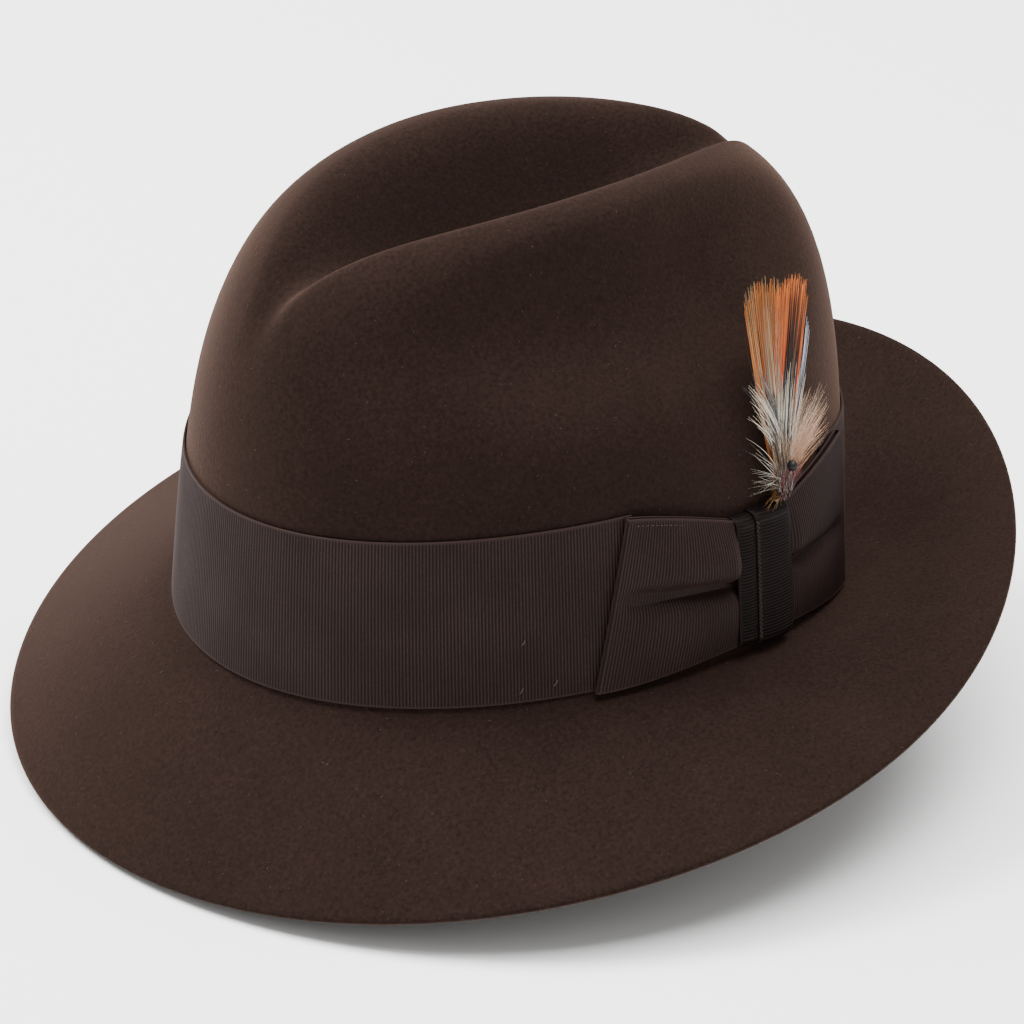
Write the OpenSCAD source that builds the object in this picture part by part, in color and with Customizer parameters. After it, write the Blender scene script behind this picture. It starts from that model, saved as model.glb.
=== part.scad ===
// Snap-brim fedora: blocked fur-felt hat with a grosgrain ribbon, a side bow and a tucked feather.
// Frame: +X forward, +Y to the wearer's left, +Z up, origin at the centre of the head opening.
// Angles around the hat start at the front and run towards the wearer's left.

/* [Crown] */
// Half length of the felt where the crown meets the brim
crown_a = 103.2; // [92:0.2:112]
// Half width of the felt where the crown meets the brim
crown_b = 84; // [75:0.2:92]
// Height of the open crown above the brim break
crown_h = 128.5; // [115:0.5:142]
// Thickness of the felt
felt_t = 2; // [1.4:0.1:2.6]
// Power of the plan curve of the dome, lower is squarer
dome_plan = 0.37; // [0.3:0.01:0.6]
// Power of the height curve of the dome, lower is squarer
dome_rise = 0.56; // [0.45:0.01:0.7]
// Inward lean of the sides, as a share of the half width
lean_side = 0.19; // [0.1:0.01:0.25]
// Share of the sides' lean that is lost towards the back
lean_ease = 0.05; // [0:0.01:0.1]
// Inward lean of the back
lean_back = 0.065; // [0:0.005:0.12]
// Inward lean of the front
lean_front = 0.02; // [0:0.005:0.1]
// Drop of the crown top towards the back
drop_back = 4.5; // [0:0.5:14]
// Drop of the crown top towards the front
drop_front = 5; // [0:0.5:14]

/* [Creases] */
// Depth of the centre crease
crease_depth = 37; // [20:0.5:42]
// Half width of the centre crease between its ridges
crease_w = 35; // [28:0.5:40]
// Half length of the centre crease behind its widest point
crease_l = 96; // [85:0.5:100]
// Half length of the centre crease ahead of its widest point
crease_front = 88; // [80:0.5:100]
// Place of the widest point of the crease along the hat
crease_x = 10.6; // [0:0.2:20]
// Half width that the crease keeps at its two ends
crease_end = 8; // [4:0.5:12]
// Depth of the pinch in the wearer's left side, under the ridge
dent_depth = 16; // [8:0.5:20]
// Depth of the fainter pinch in the right side
dent_far = 3; // [0:0.5:8]
// Distance of the deepest part of a pinch outside its ridge
dent_off = 26; // [20:0.5:30]
// Spread of a pinch up towards its ridge
dent_spread = 14; // [11:0.5:18]
// Spread of a pinch down towards the ribbon
dent_reach = 18; // [14:0.5:24]
// Share of a pinch that fades out towards the front
dent_front = 0.7; // [0.3:0.05:1]
// Power by which the crease fades towards its ends
crease_fade = 1.5; // [1.3:0.05:1.8]

/* [Brim] */
// Mean plan width of the brim
brim_w = 48.7; // [40:0.2:60]
// Plan width that the sides have over the front and back
brim_w_side = 4.1; // [0:0.1:8]
// Mean drop of the brim edge below the break
brim_drop = 10.7; // [5:0.1:16]
// Rise of the edge from front to back, over half the length
brim_tilt = 35.7; // [20:0.1:42]
// Dip of the sides against the front and back
brim_dip = 4.4; // [0:0.1:8]
// Sharpening of the front snap and the back roll
brim_roll = 2.2; // [0:0.1:4]
// Radius of the bend between crown and brim
break_r = 2.2; // [1.5:0.1:3]
// Rise of the break at the back over the front
break_tilt = -0.7; // [-3:0.1:3]
// Dip of the break at the front and back
break_dip = 3.6; // [0:0.1:6]

/* [Snap brim] */
// Distance of the snap line from the felt of the crown, along the centre line
snap_off = 9.5; // [8:0.1:14]
// Gap along the snap line
snap_gap = 0.4; // [0.3:0.05:1]

/* [Ribbon and bow] */
// Width of the ribbon
ribbon_w = 47.8; // [38:0.2:50]
// Thickness of the ribbon
ribbon_t = 0.7; // [0.4:0.05:1]
// Height of the ribbon's lower edge above the break
ribbon_lift = 1.4; // [1:0.1:3]
// Angle of the front end of the ribbon, under the front wing
ribbon_start = 77; // [74:0.5:80]
// Angle of the rear end of the ribbon, under the rear wing
ribbon_end = 122; // [118:0.5:124]
// Angle of the front wing's fold
wing_front = 73; // [70:0.5:76]
// Angle where the front wing meets the knot
knot_front_at = 95.5; // [94:0.5:97]
// Angle of the seam between the two knot strips
knot_seam_at = 100.6; // [99:0.1:102]
// Angle where the rear wing meets the knot
knot_rear_at = 107.5; // [107:0.5:111]
// Angle of the rear wing's fold
wing_rear = 130; // [127:0.5:134]
// Thickness of a folded wing
wing_t = 2.2; // [1.6:0.1:3]
// Height of the gathered bow at the knot
knot_h = 36; // [30:0.5:38]
// Height of the knot's lower edge above the ribbon's
knot_low = 2.4; // [0.4:0.2:6]
// Thickness of the knot strips
knot_t = 1.5; // [1:0.1:2.5]

/* [Sweatband] */
// Height of the leather sweatband
sweat_h = 54; // [45:0.5:58]
// Thickness of the leather
sweat_t = 1; // [0.7:0.1:1.4]
// Radius of the reed in the lower edge
reed_r = 0.9; // [0.6:0.1:1.2]
// Height of the tape that ties the reed to the felt
tape_h = 9; // [7:0.5:12]

/* [Lining] */
// Thickness of the satin lining
lining_t = 0.5; // [0.3:0.05:0.8]
// Height where the lower edge of the lining starts, behind the leather
lining_lift = 12; // [10:0.5:16]
// Slack between the felt and the tip of the lining
tip_slack = 1.2; // [0.8:0.1:2]
// Radius of the piping between the side and the tip
piping_r = 0.7; // [0.5:0.1:1]
// Share of the plan radius that the clear tip cover reaches
cover_reach = 0.55; // [0.4:0.01:0.65]

/* [Feather] */
// Angle at which the feather is tucked
feather_at = 106; // [105:0.5:107]
// Radius of the bound quill
quill_r = 0.85; // [0.6:0.05:1]
// Length of the quill inside the bow
quill_tuck = 20; // [15:0.5:24]
// Length of the quill above the bow
quill_out = 52; // [44:0.5:58]
// Height of the tips of the orange hackle above the bow
hackle_len = 65; // [60:0.5:70]
// Width of the orange hackle
hackle_w = 15; // [10:0.5:18]
// Width of the cream hackle
cream_w = 21; // [16:0.5:24]
// Radius of the bead
bead_r = 1.5; // [1:0.1:2]

/* [Hidden] */

$fn = 32;
clear = 0.3;            // between soft pieces of different layers
touch = 0.12;           // between a thread or tape and the skin that it lies on
around = 72;            // steps around the hat
wall_top = 0.72;        // share of the crown height where the wall ends and the tip starts
bend_h = break_r / crown_h;
bend_s = break_r / brim_w;

// Depths below the outer face of the felt
lining_d = felt_t + 2 * clear;
tip_d = felt_t + tip_slack;
sweat_d = lining_d + lining_t + clear;
tape_d = felt_t + clear;
inside_d = sweat_d + sweat_t;
// Heights above the outer face of the felt
ribbon_d = clear;
wing_d = ribbon_d + ribbon_t + clear;
quill_d = ribbon_d + ribbon_t + clear + quill_r;
knot_d = quill_d + quill_r + clear;
gather = ribbon_w - knot_h - knot_low;

function smooth(a, b, x) =
    let (t = min(max((x - a) / (b - a), 0), 1)) t * t * (3 - 2 * t);
function unit(v) = v / norm(v);
function mix(a, b, t) = a * (1 - t) + b * t;

// ---- The felt's outer face ----

function break_z(p) = break_tilt * -cos(p) - break_dip * cos(2 * p);
function oval_out(p) = unit([crown_b * cos(p), crown_a * sin(p), 0]);
function rho_at(h) = pow(1 - pow(h, 2 / dome_rise), dome_plan / 2);
function height_at(rho) = pow(1 - pow(rho, 2 / dome_plan), dome_rise / 2);
function drop_at(c) = drop_back * smooth(0, 1, -c) + drop_front * smooth(0, 1, c);

// A point of the crown: rho is the plan radius and h the height, each from 0 to 1
function crown_pt(p, rho, h) =
    let (lean_x = cos(p) < 0 ? lean_back : lean_front,
         x = crown_a * cos(p) * rho * (1 - lean_x * h),
         lean_y = lean_side - lean_ease * smooth(0, 1, -cos(p)),
         y = crown_b * sin(p) * rho * (1 - lean_y * h),
         z = mix(break_z(p), crown_h, h) - h * drop_at(x / crown_a),
         top = smooth(0.5, 0.85, h),
         lens = 1 - pow((x - crease_x) / (x > crease_x ? crease_front : crease_l), 2),
         half = max(crease_w * lens, crease_end),
         valley = crease_depth * pow(max(lens, 0), crease_fade)
                  * (1 + cos(180 * min(abs(y) / half, 1))) / 2,
         away = abs(y) - half - dent_off,
         off = away / (away < 0 ? dent_spread : dent_reach),
         along = smooth(-85, -15, x) * (1 - dent_front * smooth(20, 85, x)),
         dent = (y > 0 ? dent_depth : dent_far) * along * exp(-off * off) * top)
    [x, y - sign(y) * 0.8 * dent, z - valley * top - 0.6 * dent];

function edge_z(p) = -brim_drop - brim_tilt * cos(p) + brim_dip * cos(2 * p)
                     - brim_roll * cos(3 * p) + 0.6 * cos(4 * p);
function brim_reach(p) = brim_w - brim_w_side * cos(2 * p);
// A point of the brim: s runs from 0 at the break to 1 at the edge
function brim_pt(p, s) =
    let (bend = 1.15 + 0.5 * smooth(-0.2, 1, -cos(p)))
    [crown_a * cos(p), crown_b * sin(p), 0] + oval_out(p) * brim_reach(p) * s
    + [0, 0, mix(break_z(p), edge_z(p), pow(s, bend))];

// The whole face along one radius: 0 to 1 brim, 1 to 2 bend, 2 to 3 wall, 3 to 4 tip
function bend_pt(p, t) =
    let (a = brim_pt(p, bend_s), c = crown_pt(p, rho_at(bend_h), bend_h),
         b = [crown_a * cos(p), crown_b * sin(p), break_z(p)])
    a * pow(1 - t, 2) + b * 2 * t * (1 - t) + c * t * t;
function face_pt(p, v, s_out = 1) =
    v <= 1 ? brim_pt(p, mix(s_out, bend_s, v))
  : v <= 2 ? bend_pt(p, v - 1)
  : v <= 3 ? let (h = mix(bend_h, wall_top, v - 2)) crown_pt(p, rho_at(h), h)
  : let (rho = rho_at(wall_top) * (4 - v)) crown_pt(p, rho, height_at(rho));
function face_out(p, v, s_out = 1) =
    let (w = min(v, 3.96), e = 0.02, lo = max(w - e, 0), hi = w + e)
    unit(cross(face_pt(p + 1, w, s_out) - face_pt(p - 1, w, s_out),
               face_pt(p, hi, s_out) - face_pt(p, lo, s_out)));
// A point at a depth below the outer face
function under(p, v, depth, s_out = 1) = face_pt(p, v, s_out) - depth * face_out(p, v, s_out);

// A point beside the crown wall: m above the break, d outside the felt
function wall_pt(p, m, d) =
    let (h = max(m, 0) / (crown_h - break_z(p) - drop_at(cos(p))),
         c = crown_pt(p, rho_at(h), h))
    [c[0], c[1], break_z(p) + m] + d * oval_out(p);

// The way out of the crown wall, square to it
function wall_out(p, m) =
    unit(cross(wall_pt(p + 1, m, 0) - wall_pt(p - 1, m, 0), wall_pt(p, m + 1, 0) - wall_pt(p, m - 1, 0)));
// A point inside the crown, at a depth square to the wall
function wall_in(p, m, depth) = wall_pt(p, m, 0) - depth * wall_out(p, max(m, 1));

// ---- Closed solids from two faces ----

// outer and inner hold the same grid of points; ring joins the last row to the first
module slab(outer, inner, ring = false) {
    rows = len(outer);
    cols = len(outer[0]);
    steps = ring ? rows - 1 : rows - 2;
    function o(i, j) = (i % rows) * cols + j;
    function n(i, j) = rows * cols + o(i, j);
    faces = concat(
        [for (i = [0:steps], j = [0:cols - 2])
            each [[o(i, j), o(i, j + 1), o(i + 1, j + 1)], [o(i, j), o(i + 1, j + 1), o(i + 1, j)],
                  [n(i, j), n(i + 1, j + 1), n(i, j + 1)], [n(i, j), n(i + 1, j), n(i + 1, j + 1)]]],
        [for (i = [0:steps])
            each [[o(i, 0), o(i + 1, 0), n(i + 1, 0)], [o(i, 0), n(i + 1, 0), n(i, 0)],
                  [o(i + 1, cols - 1), o(i, cols - 1), n(i, cols - 1)],
                  [o(i + 1, cols - 1), n(i, cols - 1), n(i + 1, cols - 1)]]],
        ring ? [] : [for (j = [0:cols - 2])
            each [[o(0, j + 1), o(0, j), n(0, j)], [o(0, j + 1), n(0, j), n(0, j + 1)],
                  [o(rows - 1, j), o(rows - 1, j + 1), n(rows - 1, j + 1)],
                  [o(rows - 1, j), n(rows - 1, j + 1), n(rows - 1, j)]]]);
    polyhedron([each [for (r = outer) each r], each [for (r = inner) each r]], faces);
}

// A cap: rings of points that close on a top point, above and below
module cap(outer, inner, top_out, top_in) {
    rows = len(outer);
    cols = len(outer[0]);
    last = cols - 1;
    function o(i, j) = (i % rows) * cols + j;
    function n(i, j) = rows * cols + o(i, j);
    pole = 2 * rows * cols;
    faces = concat(
        [for (i = [0:rows - 1], j = [0:cols - 2])
            each [[o(i, j), o(i, j + 1), o(i + 1, j + 1)], [o(i, j), o(i + 1, j + 1), o(i + 1, j)],
                  [n(i, j), n(i + 1, j + 1), n(i, j + 1)], [n(i, j), n(i + 1, j), n(i + 1, j + 1)]]],
        [for (i = [0:rows - 1])
            each [[o(i, 0), o(i + 1, 0), n(i + 1, 0)], [o(i, 0), n(i + 1, 0), n(i, 0)],
                  [o(i + 1, last), o(i, last), pole], [n(i, last), n(i + 1, last), pole + 1]]]);
    points = [each [for (r = outer) each r], each [for (r = inner) each r], top_out, top_in];
    polyhedron(points, faces);
}

// A closed tube of round section along a closed path of points
module hoop(path, r, sides = 8) {
    count = len(path);
    rings = [for (i = [0:count - 1])
        let (t = unit(path[(i + 1) % count] - path[(i + count - 1) % count]),
             side = unit(cross(t, [0, 0, 1])), up = cross(side, t))
        [for (k = [0:sides - 1]) path[i] + r * (cos(360 * k / sides) * side + sin(360 * k / sides) * up)]];
    function q(i, k) = (i % count) * sides + k % sides;
    faces = [for (i = [0:count - 1], k = [0:sides - 1])
        each [[q(i, k), q(i, k + 1), q(i + 1, k + 1)], [q(i, k), q(i + 1, k + 1), q(i + 1, k)]]];
    polyhedron([for (r = rings) each r], faces);
}

// A patch of cloth on the crown wall: low and high give its edges at each share of its length
module wall_patch(from, to, low, high, d_in, d_out, steps = 8, rows = 3) {
    shares = [for (i = [0:steps]) i / steps];
    outer = [for (t = shares) [for (j = [0:rows])
        wall_pt(mix(from, to, t), mix(low(t), high(t), j / rows), d_out)]];
    inner = [for (t = shares) [for (j = [0:rows])
        wall_pt(mix(from, to, t), mix(low(t), high(t), j / rows), d_in)]];
    slab(outer, inner);
}

// ---- Felt ----

brim_steps = 6;
felt_levels = [for (k = [0:brim_steps]) k / brim_steps,
               for (k = [1:3]) 1 + k / 3,
               for (k = [1:6]) 2 + k / 6,
               for (k = [1:13]) 3 + k * 0.072];
felt_colour = "#4a3a33";

snap_x = crown_a + snap_off;
// Share of the brim where the snap line crosses it, or 1 where it passes outside
function snap_share(p, x) =
    let (edge = crown_a * cos(p) + oval_out(p)[0] * brim_reach(p))
    edge <= x ? 1 : (x - crown_a * cos(p)) / (oval_out(p)[0] * brim_reach(p));

module felt_body() {
    color(felt_colour)
    cap([for (i = [0:around - 1]) [for (v = felt_levels)
            let (p = 360 * i / around) face_pt(p, v, snap_share(p, snap_x))]],
        [for (i = [0:around - 1]) [for (v = felt_levels)
            let (p = 360 * i / around) under(p, v, felt_t, snap_share(p, snap_x))]],
        face_pt(0, 4), face_pt(0, 4) - [0, 0, felt_t]);
}

// Half angle of the snap line's ends, where the edge of the brim crosses it
function snap_end(x, p = 20) = snap_share(p, x) >= 0.97 ? p : snap_end(x, p + 0.25);
module front_brim() {
    far = snap_end(snap_x + snap_gap) - 0.5;
    steps = 24;
    color(felt_colour)
    slab([for (i = [0:steps]) [for (k = [0:4])
            let (p = far * (2 * i / steps - 1), s = snap_share(p, snap_x + snap_gap))
            brim_pt(p, mix(1, s, k / 4))]],
         [for (i = [0:steps]) [for (k = [0:4])
            let (p = far * (2 * i / steps - 1), s = snap_share(p, snap_x + snap_gap))
            under(p, k / 4 * (1 - s) / (1 - bend_s), felt_t)]]);
}

// ---- Ribbon and bow ----

ribbon_colour = "#4b4340";
ribbon_low = ribbon_lift;
ribbon_high = ribbon_lift + ribbon_w;

module ribbon_band() {
    color(ribbon_colour)
    wall_patch(ribbon_end, 360 + ribbon_start, function (t) ribbon_low, function (t) ribbon_high,
               ribbon_d, ribbon_d + ribbon_t, steps = 64, rows = 4);
}

// Three thread tacks that hold the ribbon to the felt near its end
module ribbon_tacks() {
    color("#3a3230")
    for (spot = [[58, 4], [63.5, 5], [58.5, 18]])
        wall_patch(spot[0] - 0.3, spot[0] + 0.3, function (t) spot[1], function (t) spot[1] + 1.4,
                   ribbon_d + ribbon_t + touch, ribbon_d + ribbon_t + touch + 0.4, steps = 1, rows = 1);
}

module bow_backing() {
    color(ribbon_colour)
    wall_patch(ribbon_start + 0.6, ribbon_end - 0.6,
               function (t) ribbon_low + knot_low, function (t) ribbon_high - gather,
               ribbon_d, ribbon_d + ribbon_t, steps = 10, rows = 4);
}

module bow_front_wing() {
    color(ribbon_colour)
    wall_patch(wing_front, knot_front_at - 0.3,
               function (t) ribbon_low + knot_low * smooth(0.1, 1, t),
               function (t) ribbon_high - gather * smooth(0.1, 1, t),
               wing_d, wing_d + wing_t, steps = 8, rows = 4);
}

module bow_rear_wing() {
    color(ribbon_colour)
    wall_patch(knot_rear_at + 0.3, wing_rear,
               function (t) ribbon_low + knot_low * smooth(0, 0.9, 1 - t),
               function (t) ribbon_high - gather * smooth(0, 0.9, 1 - t),
               wing_d, wing_d + wing_t, steps = 8, rows = 4);
}

module knot_strip(from, to, rise) {
    wall_patch(from, to, function (t) ribbon_low + knot_low - rise,
               function (t) ribbon_high - gather + rise,
               knot_d, knot_d + knot_t, steps = 4, rows = 4);
}

module knot_front_strip() {
    color(ribbon_colour) knot_strip(knot_front_at, knot_seam_at - 0.15, 0.4);
}

module knot_rear_strip() {
    color(ribbon_colour) knot_strip(knot_seam_at + 0.15, knot_rear_at, 1);
}

// A row of stitches down the seam of the knot
module bow_stitches() {
    pitch = 4;
    count = floor((knot_h - 6) / pitch);
    color("#332c2a")
    for (k = [0:count])
        let (m = ribbon_low + knot_low + 3 + k * pitch)
        wall_patch(knot_seam_at - 0.7, knot_seam_at + 0.7, function (t) m, function (t) m + 0.5,
                   knot_d + knot_t + touch, knot_d + knot_t + touch + 0.35, steps = 1, rows = 1);
}

// ---- Sweatband ----

module inner_ring(low, high, depth, thick, rows = 2) {
    steps = around;
    slab([for (i = [0:steps - 1]) [for (j = [0:rows])
            wall_in(360 * i / steps, mix(low, high, j / rows), depth)]],
         [for (i = [0:steps - 1]) [for (j = [0:rows])
            wall_in(360 * i / steps, mix(low, high, j / rows), depth + thick)]], ring = true);
}

module sweatband() {
    color("#6b4a30") inner_ring(0, sweat_h, sweat_d, sweat_t, rows = 5);
}

module sweatband_reed() {
    color("#d8d2c4")
    hoop([for (i = [0:around - 1])
        wall_in(360 * i / around, -reed_r - 0.15, sweat_d + sweat_t / 2)], reed_r);
}

module reed_tape() {
    color("#2b2624") inner_ring(-1, tape_h, tape_d, 0.3);
}

module sweatband_stitch() {
    color("#c9b89a") inner_ring(2.6, 3.1, inside_d + touch, 0.35, rows = 1);
}

module sweatband_seam_tape() {
    color("#5e4029")
    wall_patch(177.5, 182.5, function (t) 10, function (t) sweat_h - 3,
               -inside_d - clear - 0.4, -inside_d - clear, steps = 2, rows = 3);
}

module sweatband_bow() {
    waist = 0.45;
    color("#2b2624")
    wall_patch(172, 188, function (t) 6.6 - 2.6 * max(abs(2 * t - 1), waist),
               function (t) 6.6 + 2.6 * max(abs(2 * t - 1), waist),
               -inside_d - touch - 1.6, -inside_d - touch - 0.5, steps = 8, rows = 2);
}

// ---- Lining ----

lining_colour = "#5a4b45";
lining_from = 2 + (lining_lift / crown_h - bend_h) / (wall_top - bend_h);

module lining_side() {
    levels = [for (k = [0:6]) mix(lining_from, 2.985, k / 6)];
    color(lining_colour)
    slab([for (i = [0:around - 1]) [for (v = levels) under(360 * i / around, v, lining_d)]],
         [for (i = [0:around - 1]) [for (v = levels) under(360 * i / around, v, lining_d + lining_t)]],
         ring = true);
}

module skin_cap(levels, depth, thick, steps) {
    cap([for (i = [0:steps - 1]) [for (v = levels) under(360 * i / steps, v, depth)]],
        [for (i = [0:steps - 1]) [for (v = levels) under(360 * i / steps, v, depth + thick)]],
        face_pt(0, 4) - [0, 0, depth], face_pt(0, 4) - [0, 0, depth + thick]);
}

module lining_tip() {
    color(lining_colour)
    skin_cap([for (k = [0:11]) mix(3.012, 3.936, k / 11)], tip_d, lining_t, steps = around);
}

module lining_piping() {
    steps = 64;
    color("#3c302b")
    hoop([for (i = [0:steps - 1])
        under(360 * i / steps, 3, lining_d + lining_t + touch + piping_r)], piping_r);
}

module tip_cover() {
    color("#e8e8e2", 0.4)
    skin_cap([for (k = [0:8]) mix(4 - cover_reach, 3.93, k / 8)],
             tip_d + lining_t + 2 * clear, 0.35, steps = around);
}

// ---- Feather ----

// The feather's own frame: its foot at the top of the knot, up along the crown wall
bow_top = ribbon_high - gather + 1;
feather_foot = wall_pt(feather_at, bow_top, quill_d);
feather_low = wall_pt(feather_at, bow_top - quill_tuck, quill_d);
feather_up = unit(feather_foot - feather_low);
feather_lean = acos(feather_up[2]);
feather_turn = atan2(feather_up[1], feather_up[0]);

// In this frame +Z runs up the quill, +X faces the crown and +Y points forward
module in_feather() {
    translate(feather_foot) rotate([0, feather_lean, feather_turn]) children();
}

// A flat vane of barbs: outline points of width and height, at a distance in front of the quill
module vane(outline, front, thick) {
    translate([-front, 0, 0]) rotate([90, 0, -90]) linear_extrude(thick) polygon(outline);
}

module feather_quill() {
    color("#d9d3c2") in_feather() translate([0, 0, -quill_tuck]) cylinder(r = quill_r, h = quill_tuck + quill_out);
}

module feather_binding() {
    color("#8a6f4d") in_feather()
    for (k = [0:2]) translate([0, 0, 1.2 + k * 2.2]) difference() {
        cylinder(r = quill_r + 0.9, h = 2);
        translate([0, 0, -1]) cylinder(r = quill_r + 0.05, h = 4);
    }
}

module hackle_orange() {
    half = hackle_w / 2;
    color("#d9862a") in_feather()
    vane([[-2, 24], [2, 24], [half - 2, 38], [half, hackle_len - 14], [half - 1, hackle_len - 5],
          [half - 4, hackle_len - 2], [0, hackle_len], [-half + 2, hackle_len - 3],
          [-half, hackle_len - 14], [-half + 2, 38]], quill_r + 0.2, 0.9);
}

module hackle_cream() {
    half = cream_w / 2;
    color("#e6dfd2") in_feather()
    vane([[-2, 9], [2, 9], [half - 3, 20], [half, 30], [half - 2, 43], [4, 50],
          [-4, 49], [-half + 1, 41], [-half, 29], [-half + 3, 19]], quill_r + 1.4, 0.9);
}

module feather_fluff() {
    color("#c79f74") in_feather()
    vane([[-3.2, 10], [-4.6, 9.5], [-9, 14], [-11, 22], [-9, 30], [-4, 27]], quill_r + 2.6, 0.8);
}

module red_tuft() {
    color("#8c1f1c") in_feather()
    vane([[-1.8, 9], [1.8, 9], [2.8, 13], [1.6, 16.5], [-1.6, 16.5], [-2.8, 13]], quill_r + 2.6, 1.2);
}

module feather_bead() {
    color("#161211") in_feather() translate([-quill_r - 2.6 - 1.2 - touch - bead_r, 0, 11.5]) sphere(bead_r);
}

felt_body();
front_brim();
ribbon_band();
ribbon_tacks();
bow_backing();
bow_front_wing();
bow_rear_wing();
knot_front_strip();
knot_rear_strip();
bow_stitches();
sweatband();
sweatband_reed();
reed_tape();
sweatband_stitch();
sweatband_seam_tape();
sweatband_bow();
lining_side();
lining_tip();
lining_piping();
tip_cover();
feather_quill();
feather_binding();
hackle_orange();
hackle_cream();
feather_fluff();
red_tuft();
feather_bead();
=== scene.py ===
import math

import bpy
import numpy as np
from mathutils import Matrix, Vector


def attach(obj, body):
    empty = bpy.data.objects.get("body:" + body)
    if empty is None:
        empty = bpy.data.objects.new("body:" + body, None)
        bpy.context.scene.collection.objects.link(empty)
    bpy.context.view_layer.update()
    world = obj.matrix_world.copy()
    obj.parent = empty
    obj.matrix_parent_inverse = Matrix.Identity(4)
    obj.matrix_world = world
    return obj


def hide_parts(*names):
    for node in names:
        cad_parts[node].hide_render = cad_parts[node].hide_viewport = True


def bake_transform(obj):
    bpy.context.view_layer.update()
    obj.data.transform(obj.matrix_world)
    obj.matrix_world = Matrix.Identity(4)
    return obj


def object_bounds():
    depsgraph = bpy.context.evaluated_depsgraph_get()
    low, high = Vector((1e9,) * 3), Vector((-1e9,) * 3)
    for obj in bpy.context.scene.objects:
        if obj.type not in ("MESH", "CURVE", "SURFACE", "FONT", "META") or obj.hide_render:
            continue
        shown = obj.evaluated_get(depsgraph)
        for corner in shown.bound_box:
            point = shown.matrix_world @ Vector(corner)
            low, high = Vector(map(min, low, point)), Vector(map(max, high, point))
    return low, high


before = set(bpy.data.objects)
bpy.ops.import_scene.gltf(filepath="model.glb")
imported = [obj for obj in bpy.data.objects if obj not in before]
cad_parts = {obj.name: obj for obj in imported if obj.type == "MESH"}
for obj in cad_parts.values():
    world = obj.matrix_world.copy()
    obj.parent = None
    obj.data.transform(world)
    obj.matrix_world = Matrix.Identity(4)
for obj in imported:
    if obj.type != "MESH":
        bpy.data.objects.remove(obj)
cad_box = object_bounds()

MM = 0.001

# ---- Camera ----
# A long lens looks down on the hat from its front left, with the wearer's left side, its bow
# and its feather towards the viewer. The frame leans a little, as a hand-held camera does.
view_turn = math.radians(50)
view_rise = math.radians(27)
view_roll = math.radians(2.6)
view_distance = 1.275
to_camera = Vector((math.cos(view_rise) * math.cos(view_turn),
                    math.cos(view_rise) * math.sin(view_turn), math.sin(view_rise)))
level = Vector((-math.sin(view_turn), math.cos(view_turn), 0))
upright = to_camera.cross(level)
camera_right = level * math.cos(view_roll) + upright * math.sin(view_roll)
camera_up = upright * math.cos(view_roll) - level * math.sin(view_roll)
camera_data = bpy.data.cameras.new("camera")
camera_data.lens = 155.4
camera_data.sensor_width = 36
camera_data.shift_x = -0.001
camera_data.shift_y = 0.048
camera = bpy.data.objects.new("camera", camera_data)
camera.matrix_world = Matrix.Translation(to_camera * view_distance) @ Matrix(
    (camera_right, camera_up, to_camera)).transposed().to_4x4()
bpy.context.collection.objects.link(camera)
bpy.context.scene.camera = camera

# ---- Felt body ----
# Crown and brim are one piece of fur felt, wetted and pulled over a wooden block, then pressed
# and shaved. The brim's edge is cut raw and lightly sanded round. The crown has a centre crease
# with a pinch in its left side and a fainter one in its right; the brim is snapped down in front
# and rolled up behind.
crown_a = 103.2
crown_b = 84.0
crown_h = 128.5
felt_t = 2.0
dome_plan = 0.37
dome_rise = 0.56
lean_side = 0.19
lean_ease = 0.05
lean_back = 0.065
lean_front = 0.02
drop_back = 4.5
drop_front = 5.0
crease_depth = 37.0
crease_w = 35.0
crease_l = 96.0
crease_front = 88.0
crease_x = 10.6
crease_end = 8.0
crease_fade = 1.5
crease_low = 0.5
crease_full = 0.85
dent_depth = 16.0
dent_far = 3.0
dent_off = 26.0
dent_spread = 14.0
dent_reach = 18.0
dent_front = 0.7
dent_rise = (-85, -15)
dent_fall = (20, 85)
dent_in = 0.8
dent_down = 0.6
brim_w = 48.7
brim_w_side = 4.1
brim_drop = 10.7
brim_tilt = 35.7
brim_dip = 4.4
brim_roll = 2.2
break_r = 2.2
break_tilt = -0.7
break_dip = 3.6
wall_top = 0.72
bend_h = break_r / crown_h
bend_s = break_r / brim_w


def smooth(low, high, x):
    """0 below low, 1 above high, and an even S between them."""
    t = np.clip((x - low) / (high - low), 0, 1)
    return t * t * (3 - 2 * t)


def mix(a, b, t):
    return a * (1 - t) + b * t


def unit(v):
    return v / (np.linalg.norm(v, axis=-1, keepdims=True) + 1e-12)


def points(x, y, z):
    return np.stack(np.broadcast_arrays(x, y, z), axis=-1)


def break_z(p):
    return -break_tilt * np.cos(p) - break_dip * np.cos(2 * p)


def oval_out(p):
    """The level direction straight out of the head oval."""
    return unit(points(crown_b * np.cos(p), crown_a * np.sin(p), 0 * p))


def rho_at(h):
    return (1 - np.clip(h, 0, 1) ** (2 / dome_rise)) ** (dome_plan / 2)


def height_at(rho):
    return (1 - np.clip(rho, 0, 1) ** (2 / dome_plan)) ** (dome_rise / 2)


def drop_at(c):
    return drop_back * smooth(0, 1, -c) + drop_front * smooth(0, 1, c)


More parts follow.
